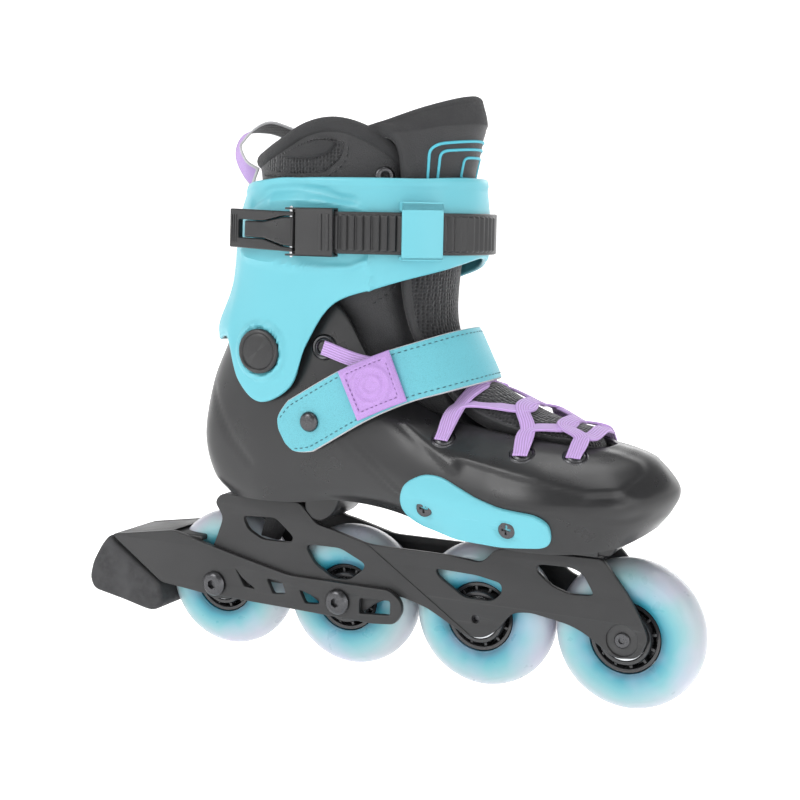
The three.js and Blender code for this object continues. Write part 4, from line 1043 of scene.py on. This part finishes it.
LINER_WALL = 5
LINER_RINGS = [foot_ring(half) for half in (
    [[-110, 0, 97.5], [-102, 17.5, 97.5], [-84, 24, 97.5], [-60, 24.5, 99.8], [-35, 24.5, 103.2],
     [-8, 26, 102], [20, 30.5, 97.5], [50, 36.5, 92.5], [85, 37, 91.5], [108, 25, 94], [119.5, 0, 98]],
    [[-120, 0, 122], [-110, 21, 122], [-86, 30, 122], [-60, 32, 121], [-35, 33.5, 120], [-7, 35.5, 118],
     [21, 37.5, 114], [51, 40, 111], [84, 39.5, 111.5], [111, 27, 113], [127, 0, 114.5]],
    [[-117, 0, 150], [-106, 19, 150], [-86, 28.5, 150], [-61, 31.5, 150], [-38, 32.5, 147], [-11, 31, 135],
     [18, 32.5, 124], [49, 33, 117.5], [80, 31, 116], [104, 20, 117], [117, 0, 119]],
    [[-109.5, 0, 166], [-101, 17, 166], [-83, 27, 167], [-60, 30.5, 168], [-38, 31, 165], [-13, 28.5, 147],
     [10, 22.5, 138], [38, 19, 129], [66, 16, 125], [88, 8, 123], [97, 0, 122.5]],
    [[-101.5, 0, 193], [-94.5, 14, 194], [-78, 24.5, 195], [-58, 28, 197], [-37, 28.5, 192],
     [-18, 25.5, 176], [-2, 20, 161], [11, 15, 149.5], [23, 12, 143.5], [30, 7, 140], [34, 0, 139.5]],
    [[-101, 0, 214], [-94, 17, 214], [-81, 30, 214], [-62, 35.5, 214], [-42, 37, 212], [-24, 36, 208],
     [-10, 30, 202], [-4, 21, 197], [3, 14, 193], [6, 7, 191], [6.5, 0, 191]],
    [[-97, 0, 234], [-92, 17, 234], [-81, 30, 235], [-64, 38, 236], [-45, 40.5, 237], [-27, 39.5, 237],
     [-12, 34, 236], [-2, 26, 235], [4, 17, 234], [7, 8, 233], [8, 0, 233]],
    [[-93, 0, 254], [-88, 17, 254], [-79, 29, 256], [-66, 37, 260], [-48, 40, 262], [-30, 39.5, 262],
     [-15, 35.5, 259], [-4, 28, 254], [3, 18, 251], [7, 8, 250], [8, 0, 249]],
    [[-95, 0, 268], [-90, 16, 268], [-80, 28, 270], [-67, 36, 275], [-50, 39, 283], [-34, 38.5, 285.5],
     [-18, 36, 281], [-6, 30, 273], [1, 20, 264], [6, 9, 259], [7, 0, 258]],
)]
LENS_PATCH = [(-64, 269.5), (-55, 274), (-46, 277.5), (-38, 278), (-31.5, 277), (-35, 272), (-45, 268.5)]
MESH_BAND = [(-78, 263), (-53, 261.5), (-38, 262.5), (-30, 269), (-28.5, 277), (-36, 279), (-46, 278.5),
             (-60, 273), (-77, 267)]
LINER_SEAMS = [[(-80, 261), (-52, 259.5), (-36.5, 260.5), (-27.5, 268), (-26, 278)],
               [(-3, 272), (2, 255), (0, 232), (-6, 206), (-16, 196)],
               [(-36, 226), (-34, 205), (-38, 188)]]
LINER_EYELET = (-8.9, 260.4)
BINDING = 4.3


def hoop(body, spot, normal, profile, kind=0, sides=36):
    """Adds a ring turned about a normal, its profile in (radius, height above the spot)."""
    first = unit(np.cross(normal, (0.3, 0.1, 1)))
    second = np.cross(normal, first)
    angles = np.arange(sides) * 2 * math.pi / sides
    round_about = np.cos(angles)[:, None] * first + np.sin(angles)[:, None] * second
    net = np.array([spot + radius * round_about + height * normal for radius, height in profile])
    body.grid(net, wrap_columns=True, kind=kind)
    return body


def tube(path, radius, sides=14, loop=True):
    """Net of a round cord along a path; one row for each side of the cord."""
    along = np.roll(path, -1, 0) - np.roll(path, 1, 0) if loop else np.gradient(path, axis=0)
    side = unit(np.cross(along, (0, 0, 1)))
    up = unit(np.cross(side, along))
    angles = np.arange(sides) * 2 * math.pi / sides
    return np.array([path + radius * (math.cos(a) * side + math.sin(a) * up) for a in angles])


def on_surface(surface, line, side, lift, steps=8):
    spots, outward = [], []
    for x, z in smooth(line, steps):
        spot, normal = surface.under(x, z, side)
        spots.append(spot + normal * lift)
        outward.append(normal)
    return np.array(spots), np.array(outward)


def build_liner():
    outer = refine(LINER_RINGS, 8, 10, True)
    out = normals(outer, True)
    spots = outer[..., [0, 2]]
    side_on = step(np.abs(outer[..., 1]) - 8, 6)
    lift = sum(-0.7 * groove(path_distance(spots, line), 1.1) for line in LINER_SEAMS)
    skin = outer + out * (lift * side_on)[..., None]
    inner = outer - out * LINER_WALL
    inner[0] = outer[0] * (0.97, 0.85, 1) + (0, 0, LINER_WALL)
    rows = wall_rows(skin, inner, foot=False)
    rows = np.concatenate([close_floor(skin), rows, close_floor(inner)[::-1]])
    middle = (rows[:-1] + rows[1:]) / 2
    kinds = np.zeros(middle.shape[:2], int)
    kinds[len(skin) + 6:] = 2
    body = Body().grid(rows, wrap_columns=True, kind=kinds.ravel())
    middle_line = (outer[-1] + inner[-1]) / 2
    body.grid(tube(middle_line, BINDING), wrap_rows=True, wrap_columns=True, kind=3)
    surface = Surface(skin)
    for side in (-1, 1):
        cover(body, surface, rounded(MESH_BAND, 2), (-48, 272), side, 0.7, 0.5, kind=1, pitch=1)
        cover(body, surface, rounded(LENS_PATCH, 2.5), (-46, 276), side, 2.6, 1.8, kind=3, pitch=1)
        for line in LINER_SEAMS[:2]:
            path, outward = on_surface(surface, line, side, 0.1)
            stitches(body, path, outward, kind=4)
        spot, normal = surface.under(*LINER_EYELET, side)
        hoop(body, spot, normal, [(2.2, 0.2), (2.4, 1.1), (3.4, 1.4), (4.6, 1), (5, 0.2), (5, -1)], kind=5)
        hoop(body, spot, normal, [(0.01, 0.3), (2.4, 0.3)], kind=2)
    materials = ["leather", "mesh", "lining", "suede", "thread", "dark_steel"]
    return make("liner_padded_boot", body, materials, None, "liner", sharp=60)


liner_piece = build_liner()


def build_footbed():
    base = LINER_RINGS[0]
    shrunk = np.stack([4 + (base[:, 0] - 4) * 0.86, base[:, 1] * 0.8, base[:, 2] + LINER_WALL + 1.5], 1)
    loop = smooth(shrunk, 10, True)
    rows = [loop, loop + (0, 0, 2.4), loop * (0.995, 0.98, 1) + (0, 0, 3)]
    rows += [loop * (0.99, share, 1) + (0, 0, 3 + 0.2 * (1 - share)) for share in (0.85, 0.6, 0.3, 0.0)]
    rows = [loop * (1, share, 1) for share in (0, 0.3, 0.6, 0.9)] + rows
    make("footbed_felt_layer", Body().grid(np.array(rows), wrap_columns=True), "lining", "chassis",
         "footbed", sharp=50)


build_footbed()

# ---------------------------------------------------------------- tongue

TONGUE_THICK = 4.5
TONGUE_SPINE = [[97, 127.5], [70, 133], [46, 143], [31.5, 153], [20.5, 168], [12.5, 188], [12.5, 214],
                [17, 238], [19.5, 260], [24.5, 284], [22, 298]]
TONGUE_HALF = [10, 14.5, 15, 15, 17.5, 22, 28, 29, 30, 32, 32]
TONGUE_SWEEP = [1, 1.5, 2, 3.5, 7, 12, 15, 17, 21, 29, 43]
EMBLEM = [(12, 19, 5), (8.6, 15.6, 3), (5, 6, 2)]
EMBLEM_DROP = 30
TONGUE_ROLL = 3.4
TONGUE_DROP = [2.5, 5, 8, 9, 7, 3, 0, 0, 2, 8, 19]


def tongue_relief(a, b, length, width):
    """Rolled top with a seam under it, and a padded border along both edges."""
    edge = np.minimum(b, width - b)
    lift = 1.8 * step(a - (length - 13), 2.5) + 0.9 * step(4.5 - edge, 1)
    lift -= 0.7 * groove(a - (length - 14.5), 1)
    lift += 6.2 * step(a - 4, 8) * step(72 - a, 18) * step(edge, width / 2)
    return lift


def build_tongue():
    across = [1, 0.6, 0, -0.6, -1]
    net = [[(x - TONGUE_SWEEP[i] * s * s, s * TONGUE_HALF[i], z - TONGUE_DROP[i] * s * s)
            for i, (x, z) in enumerate(TONGUE_SPINE)] for s in across]
    outer, inner, marks = pad(net, TONGUE_THICK, edge=2.2, pitch=1.2, relief=tongue_relief)
    length, width = marks[0, -1, 0], marks[-1, 0, 1]
    a, b = marks[:-1, :-1, 0], marks[:-1, :-1, 1]
    kinds = np.zeros(a.shape, int)
    kinds[(np.minimum(b, width - b) > 5) & (a < length - 50)] = 1
    kinds[a > length - 13] = 2
    body = Body().grid(outer, kind=kinds.ravel(), marks=marks)
    emblem = [rounded([(-high, -wide), (high, -wide), (high, wide), (-high, wide)], corner, 6)
              for high, wide, corner in EMBLEM]
    for outline in emblem:
        line = resample(np.array(outline), 0.8)
        columns = np.interp(length - EMBLEM_DROP + line[:, 0], marks[0, :, 0], np.arange(marks.shape[1]))
        rows = np.interp(width / 2 + line[:, 1], marks[:, 0, 1], np.arange(marks.shape[0]))
        path = np.array([evaluate(evaluate(outer, [row])[0], [column])[0]
                         for row, column in zip(rows, columns)])
        body.grid(tube(path, 0.75, 8), wrap_rows=True, wrap_columns=True, kind=3)
    body.grid(inner, kind=4, flip=True)
    top = (outer[:, -4] + inner[:, -4]) / 2
    body.grid(tube(top, TONGUE_ROLL, loop=False), wrap_rows=True, kind=2)
    return make("tongue_padded_flap", body, ["leather", "mesh", "suede", "aqua_line", "lining"], None,
                "tongue", sharp=60)


tongue_piece = build_tongue()
for piece in (liner_piece, tongue_piece):
    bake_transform(piece)

# ---------------------------------------------------------------- pull loop

PULL_PATH = [[-96.5, -9, 260], [-103, -10, 266], [-107.5, -8.5, 275], [-104, -5, 283], [-96, 1, 286.5],
             [-88.5, 6, 284.5], [-82, 10, 280.5]]
PULL_FACING = [[-0.7, -0.7, 0], [-0.7, -0.7, -0.3], [-0.75, -0.65, 0], [-0.6, -0.5, 0.6], [-0.2, 0.2, 1],
               [0.2, 0.5, 0.9], [0.2, 0.6, 0.8]]
loop_net = ribbon(smooth(PULL_PATH, 6), smooth(PULL_FACING, 6), 18)
loop_body = Body()
add_pad(loop_body, loop_net, 1.2, 0, 1, rim_kind=2, rim=0.7, edge=0.5, pitch=1)
make("pull_loop_tape", loop_body, ["lilac_tape", "lining", "white_edge"], "cuff",
     "pull_loop", sharp=60)

# ---------------------------------------------------------------- power strap, rivets and badge

STRAP_MIDDLE = [[-59.5, -42.5, 128], [-57, -42.5, 129.5], [-50, -42.7, 133.5], [-45, -42.6, 136.5],
                [-20, -41, 151.5], [0, -36.5, 161], [17.5, -28.5, 167], [28.6, -15, 170.8], [32.6, 0, 172]]
STRAP_LEAN = [[-0.5, 0.86], [-0.5, 0.86], [-0.5, 0.86], [-0.5, 0.86], [-0.54, 0.84], [-0.56, 0.82],
              [-0.5, 0.86], [-0.46, 0.89], [-0.45, 0.89]]
STRAP_HALF = [4, 10, 14.2, 14.8, 14.6, 14.6, 14.6, 14.6, 14.6]
STRAP_THICK = 2.2
STRAP_RIVET = (-43, 137)


def strap_row(share):
    lateral = np.array([[x + lean[0] * half * share, y, z + lean[1] * half * share]
                        for (x, y, z), lean, half in zip(STRAP_MIDDLE, STRAP_LEAN, STRAP_HALF)])
    return np.concatenate([lateral, lateral[:-1][::-1] * (1, -1, 1)])


def build_strap():
    def relief(a, b, length, width):
        return 0.35 * step(np.minimum(b, width - b) - 2.6, 1.2)

    body = Body()
    net = [strap_row(share) for share in (-1, 0, 1)]
    add_pad(body, net, STRAP_THICK, 0, 1, rim_kind=2, rim=0.35, edge=0.7, pitch=1.6, relief=relief)
    outward = normals(refine(net, 1, 12, False), False)[1][12:-12]
    for share in (-0.8, 0.8):
        path = smooth(strap_row(share), 12)[12:-12]
        stitches(body, path + outward * (STRAP_THICK + 0.15), outward, length=1.9, radius=0.22, kind=3)
    make("power_strap_band", body, ["aqua_leather", "lining", "white_edge", "aqua_thread"], "chassis",
         "power_strap", sharp=55)
    for name, side in (("lateral", -1), ("medial", 1)):
        rows = [(0.01, 37), (2.3, 37), (2.3, 45.2), (5.2, 45.4), (5.1, 46), (4.2, 47.2), (2.6, 47.8),
                (0.01, 48)]
        head = Body().grid(lathe([(r, side * y) for r, y in rows], *STRAP_RIVET, 48), wrap_columns=True)
        make(f"strap_rivet_{name}_dome", head, "dark_steel", "chassis", f"strap_rivet_{name}")


BADGE_PATH = [[-21.5, -44.2, 151.5], [-8, -42.2, 158], [3.5, -38.8, 163]]
BADGE_FACING = [[0, -1, 0.04], [0.12, -1, 0.04], [0.2, -1, 0.1]]


def build_badge():
    net = ribbon(smooth(BADGE_PATH, 4), smooth(BADGE_FACING, 4), 27, (-1, 0, 1))

    def relief(a, b, length, width):
        centre = np.hypot(a - length / 2, b - width / 2)
        near = np.minimum(np.minimum(a, length - a), np.minimum(b, width - b))
        rings = 1.1 * groove(centre - 8.8, 1.1) + 0.9 * groove(centre - 4.4, 1)
        return -0.8 * groove(near - 2.6, 0.9) - rings

    body = Body()
    outer = add_pad(body, net, 1.8, edge=1.1, pitch=0.55, crown=1.3, relief=relief)
    out = normals(outer, False)
    inset = 9
    last, inner = -inset - 1, slice(inset, -inset)
    for line in ((inset, inner), (last, inner), (inner, inset), (inner, last)):
        stitches(body, outer[line], out[line], length=1.6, gap=1, radius=0.22, kind=1)
    piece = make("strap_badge_cushion", body, ["lilac_pad", "lilac_thread"], "chassis",
                 "strap_badge", sharp=60)


build_strap()
build_badge()

# ---------------------------------------------------------------- lace and eyelets

EYELETS = {
    -1: [[-39, -38.6, 174.5], [26.7, -37.3, 132], [67.6, -36.1, 127.6], [92.2, -29.8, 127.6]],
    1: [[-39, 38.6, 174.5], [30, 36, 137.5], [69, 35, 130.5], [92.2, 29.8, 128.4]],
}
RIM_HOP = {
    -1: [[-20, -37.5, 170], [30, -22, 147.5], [66, -21.5, 138], [92, -17, 135.4]],
    1: [[-20, 37.5, 170], [35, 22, 152.5], [67, 21.5, 143], [92, 17, 137]],
}
LACE_CREST = [[36, 0, 158.4], [60, 0, 148.8], [82, 0, 141.3], [96.5, 0, 138]]
LACE_WIDTH, LACE_THICK = 7.5, 1.3


def beside(spot, side):
    return [spot[0] - 1, side * 12, spot[2] - 2.2]


def strand(start, stop, crest, lift=0):
    x, y, z = LACE_CREST[crest]
    top = [x, y, z + lift]
    path = [EYELETS[-1][start], RIM_HOP[-1][start], beside(top, -1), top, beside(top, 1), RIM_HOP[1][stop],
            EYELETS[1][stop]]
    outward = [[0, -0.5, 0.85], [0, -0.3, 1], [0.3, -0.2, 1], [0.3, 0, 1], [0.3, 0.2, 1], [0, 0.3, 1],
               [0, 0.5, 0.85]]
    return path, outward


def ankle(start, stop, side):
    path = [EYELETS[side][start], [-15, side * 35.5, 167.5], [12, side * 27, 167], [31, side * 12, 162.5],
            LACE_CREST[0], beside(LACE_CREST[0], -side), RIM_HOP[-side][stop], EYELETS[-side][stop]]
    outward = [[0, side, 0.1], [0.2, side, 0.2], [0.7, side, 0.5], [0.7, side * 0.3, 0.7], [0.7, 0, 0.7],
               [0.4, -side * 0.2, 0.9], [0, -side * 0.3, 1], [0, -side * 0.5, 0.85]]
    return path, outward


def build_lace():
    body = Body()
    over = 0.7
    stretches = [ankle(0, 1, -1), ankle(0, 1, 1), strand(1, 2, 1), strand(2, 1, 1, over), strand(2, 3, 2),
                 strand(3, 2, 2, over), strand(3, 3, 3)]
    for path, outward in stretches:
        net = ribbon(smooth(path, 6), smooth(outward, 6), LACE_WIDTH)
        add_pad(body, net, LACE_THICK, edge=0.6, pitch=0.8, crown=0.25)
    make("lace_flat", body, "lilac_web", "chassis", "lace", sharp=60)


def build_eyelets():
    body = Body()
    for side in (-1, 1):
        for x, _, z in EYELETS[side]:
            spot, normal = shell_surface.under(x, z, side)
            hoop(body, spot, normal, [(3, -1), (3.1, 1.3), (3.8, 2), (4.6, 1.6), (4.9, 1.1), (5.7, 1.5),
                                      (6.6, 0.9), (6.8, -0.5)])
            hoop(body, spot, normal, [(0.01, 0.9), (2.9, 0.9)], kind=1)
    make("eyelet_rings", body, ["dark_steel", "gloss"], "chassis", sharp=60)


build_lace()
build_eyelets()

# ---------------------------------------------------------------- cuff

CUFF_WALL = 2.5
CUFF_RINGS = [
    foot_ring(np.array([[-117, 0, 174], [-111, -23, 175], [-98, -36, 177], [-89, -40, 156],
                        [-75, -41.5, 145.5], [-56, -42.5, 155], [-46, -42.5, 178], [-31, -42.5, 198],
                        [-6, -40.5, 207], [17, -30, 214.5], [27.5, -14, 219.5],
                        [30.5, 0, 222]]) * (1, -1, 1)),
    foot_ring([[-116.5, 0, 184], [-110.5, 23, 184], [-97.5, 36.5, 184], [-90, 40, 172], [-76, 42, 165],
               [-55, 43.3, 172], [-44, 43.8, 190], [-28, 43.5, 206], [-4, 41, 213], [18, 30.5, 219.5],
               [28.5, 14, 223.5], [31, 0, 225.5]]),
    foot_ring([[-107.5, 0, 205], [-102.5, 22, 205], [-93, 34.5, 205], [-84, 39.5, 200], [-71, 43, 196],
               [-52, 45, 202], [-41, 45.5, 211], [-26, 45, 219], [-3, 41.5, 223], [18, 31, 226],
               [28.5, 14.5, 229], [31, 0, 230]]),
    foot_ring([[-105, 0, 236], [-99, 22, 236], [-89, 34.5, 236], [-77, 42, 236], [-62, 46, 237],
               [-48, 47, 238], [-37, 47, 239], [-23, 46, 240], [-2, 41.5, 241], [17.5, 30.5, 241],
               [28, 14.5, 241], [30.5, 0, 241]]),
    foot_ring([[-98, 0, 252], [-93, 22, 254], [-84, 34, 256], [-72, 42, 257], [-60, 45, 258],
               [-48, 46.5, 258], [-36, 47, 258], [-22, 46, 258], [-2, 41, 258], [16, 29, 258],
               [26, 14, 258.5], [29, 0, 258.5]]),
]
CAP_RADIUS = 11.5
EYEBROW = [(-80, 247), (-66.5, 253.3), (-50.1, 254.5), (-36.3, 252.4), (-26.8, 249.3), (-20.1, 248.4)]
RECESS_LINE = [(-66.3, 247.4), (-49.9, 248.1), (-31.5, 247.2), (-20.1, 245.8), (-12.9, 242.8)]
LENS_CREASE = [(-88, 221.5), (-81.4, 218.5), (-56.7, 216.1), (-36.7, 214.7), (-20.5, 215.5), (-12, 219)]
SEAM_STEP = [(-11.5, 224), (-11.5, 205)]
KEEPER = {"at": (13, -36.5), "turn": 0.64, "width": 20.5}
FLAP_EDGE = 12


def cuff_relief(net):
    spots = net[..., [0, 2]]
    side_on = step(np.abs(net[..., 1]) - 20, 8)
    lift = 1.8 * groove(path_distance(spots, EYEBROW), 2.6)
    lift -= 1.1 * groove(path_distance(spots, RECESS_LINE), 1.6)
    lift -= 1.5 * groove(path_distance(spots, LENS_CREASE), 1.8)
    lift -= 1.1 * groove(path_distance(spots, SEAM_STEP), 1.2)
    from_pivot = np.hypot(spots[..., 0] - PIVOT[0], spots[..., 1] - PIVOT[2])
    lift += 1.3 * step(15.2 - from_pivot, 1.6) - 1.9 * step(CAP_RADIUS + 0.7 - from_pivot, 0.8)
    lift *= side_on
    top_drop = net[-1][None, :, 2] - net[..., 2]
    lift += 0.6 * step(3 - top_drop, 1)
    front = step(net[..., 0] - 5, 4)
    lift += 0.9 * front * step(FLAP_EDGE - net[..., 1], 0.5) * step(net[..., 1] + 30, 14)
    return lift


def build_cuff():
    outer = refine(CUFF_RINGS, 18, 14, True)
    out = normals(outer, True)
    skin = outer + out * cuff_relief(outer)[..., None]
    body = Body().grid(wall_rows(skin, outer - out * CUFF_WALL), wrap_rows=True, wrap_columns=True)
    half = KEEPER["width"] / 2
    for low, high in (((-half, -6, 219.6), (half, -4.2, 248)), ((-half, -6, 219.6), (half, 2.2, 221.8)),
                      ((-half, -6, 243.4), (half, 2.2, 248))):
        spots, faces = block(low, high, 0.7)
        body.add(turned_about(spots, KEEPER["turn"], KEEPER["at"]), faces)
    make("cuff_shell", body, "aqua", "cuff", "cuff", sharp=38)


build_cuff()
for name, side in (("lateral", -1), ("medial", 1)):
    rows = [(0.01, 45.3), (4, 45.2), (8, 45), (8.9, 44.7), (9.2, 44.5), (9.6, 44.9), (10.2, 45.2),
            (CAP_RADIUS - 0.5, 44.9), (CAP_RADIUS, 44.2), (CAP_RADIUS, 42.5), (5, 42.5), (5, 33.5),
            (0.01, 33.5)]
    head = Body().grid(lathe([(r, side * y) for r, y in rows], PIVOT[0], PIVOT[2]), wrap_columns=True)
    make(f"cuff_pivot_{name}_cap", head, "black", "chassis", f"cuff_pivot_{name}", sharp=30)

# ---------------------------------------------------------------- ladder strap and buckle

LADDER_Z, LADDER_WIDTH, LADDER_THICK = 232.6, 20.6, 2.2
LADDER_PATH = [[-47, -49.1], [-28, -49.7], [-16, -47.8], [0, -42.8], [12, -37], [22.5, -28], [29.5, -16],
               [32.2, 0], [29.5, 16], [22.5, 28], [8, 38.7], [-8, 44.3], [-26, 47.2]]
RIB_PITCH, RIB_START, RIB_END = 4, 19, 112
ANCHOR_X = -12


def ladder_relief(a, b, length, width):
    """Saw-shaped ribs that the buckle's pawl climbs, inside plain borders."""
    saw = ((a - RIB_START) % RIB_PITCH) / RIB_PITCH
    tooth = np.clip(saw * 1.6, 0, 1) * np.clip((1 - saw) * 8, 0, 1)
    ribbed = step(a - RIB_START, 0.5) * step(RIB_END - a, 0.5) * step(np.minimum(b, width - b) - 1.8, 0.5)
    return 1.1 * tooth * ribbed


def build_ladder():
    path = smooth([[x, y, LADDER_Z] for x, y in LADDER_PATH], 6)
    facing = smooth([[max(x + 12, 0) * 0.045, y * 0.03, 0] for x, y in LADDER_PATH], 6)
    body = Body()
    band = ribbon(path, facing, LADDER_WIDTH)
    add_pad(body, band, LADDER_THICK, edge=0.6, pitch=0.42, relief=ladder_relief)
    make("ladder_strap_ribbed", body, "black", "cuff", "ladder_strap", sharp=35)
    drive = cross(0.5, 1.8)
    rows = [(0.01, 48.6), (drive, 48.6), (drive, 49.5), (2.8, 49.7), (3.6, 49.4), (4, 48.6),
            (4, 48.1), (1.7, 48.1), (1.7, 41), (0.01, 41)]
    head = Body().grid(lathe(rows, ANCHOR_X, LADDER_Z, 48), wrap_columns=True)
    make("strap_anchor_head", head, "dark_steel", "cuff", "strap_anchor_screw", sharp=30)


build_ladder()

BUCKLE = {"at": (-50, -49.5), "z": 232.6, "heading": -0.03, "pin_y": -2.8}
LEVER = {"heading": -0.2, "rise": 0.03, "length": 41.5, "width": 20.6, "thick": 4}


def in_buckle(spots):
    return turned_about(np.asarray(spots, float) + (0, 0, BUCKLE["z"]), BUCKLE["heading"], BUCKLE["at"])


def on_lever(spots):
    x, y, z = np.asarray(spots, float).T
    c, s = math.cos(LEVER["rise"]), math.sin(LEVER["rise"])
    raised = np.stack([x * c + z * s, y, z * c - x * s], 1)
    return in_buckle(turned_about(raised, LEVER["heading"], (0, BUCKLE["pin_y"])))


def upright(rows, x, y, sides=36):
    """Net of revolution about a vertical line through (x, y)."""
    turned = lathe(rows, 0, 0, sides)
    return np.stack([turned[..., 0] + x, turned[..., 2] + y, turned[..., 1]], -1)


def build_buckle():
    body = Body()
    for low, high in (((2.9, -4.4, -11.9), (24, -2.3, 11.9)), ((-3, -4.4, 10.9), (24, 1.9, 11.9)),
                      ((-3, -4.4, -11.9), (24, 1.9, -10.9)), ((-3, 0.9, -11.9), (24, 1.9, 11.9)),
                      ((20.6, -5, -9), (22.2, -4.2, 9)), ((16.6, -5, -9), (18.2, -4.2, 9))):
        spots, faces = block(low, high, 0.35)
        body.add(in_buckle(spots), faces)
    make("buckle_housing_box", body, "black", "cuff", "buckle_housing", sharp=32)
    pin = [(0.01, -12.6), (0.7, -12.6), (0.9, -12.3), (0.9, 12.3), (0.7, 12.6), (0.01, 12.6)]
    net = upright(pin, 0, BUCKLE["pin_y"])
    make("buckle_pin_rod", Body().add(in_buckle(net.reshape(-1, 3)), grid_faces(*net.shape[:2], False, True)),
         "bright_steel", "cuff", "buckle_pin", sharp=30)

    half, thick, length = LEVER["width"] / 2, LEVER["thick"] / 2, LEVER["length"]
    outline = [[-length, half - 0.5], [-length, 0.5 - half], [2, 0.4 - half], [2, -7.9], [-5, -7.6],
               [-18, -4.6], [-35.5, -4.6], [-35.5, 4.6], [-18, 4.6], [-5, 7.6], [2, 7.9], [2, half - 0.4]]
    spots, faces = plate(outline, -thick, thick, 0.8, bevel=0.7)
    body = Body().add(on_lever(spots), faces)
    for x in (-36.9, -38.4, -39.9):
        spots, faces = block((x - 0.4, -thick - 0.35, -7), (x + 0.4, -thick + 0.6, 7), 0.25, 2)
        body.add(on_lever(spots), faces)
    make("buckle_lever_arm", body, "shell", "buckle_lever", "buckle_lever", sharp=32)
    outline = [[-31, 4.1], [-31, -4.1], [-18, -4.1], [-4.6, -7], [2, -7.3], [2, 7.3], [-4.6, 7], [-18, 4.1]]
    spots, faces = plate(outline, -thick, thick, 0.8, bevel=0.9)
    make("release_catch_tab", Body().add(on_lever(spots), faces), "shell", "release_catch",
         "release_catch", sharp=32)


build_buckle()

# ---------------------------------------------------------------- floor

FLOOR_SIDES = 64


def build_floor():
    """Pale round floor that curves up into a backdrop far away on every side."""
    profile = smooth([(0, 0), (12, 0), (25, 0), (29, 0.3), (32, 2.5), (33.5, 7), (34, 14)], 6)
    angles = np.arange(FLOOR_SIDES) * 2 * math.pi / FLOOR_SIDES
    spots = [(MIDDLE * MM + r * math.cos(a), r * math.sin(a), z) for r, z in profile for a in angles]
    mesh = bpy.data.meshes.new("floor")
    mesh.from_pydata(spots, [], grid_faces(len(profile), FLOOR_SIDES, False, True).tolist())
    mesh.shade_smooth()
    mesh.materials.append(mat["floor"])
    floor = bpy.data.objects.new("floor", mesh)
    bpy.context.scene.collection.objects.link(floor)


build_floor()
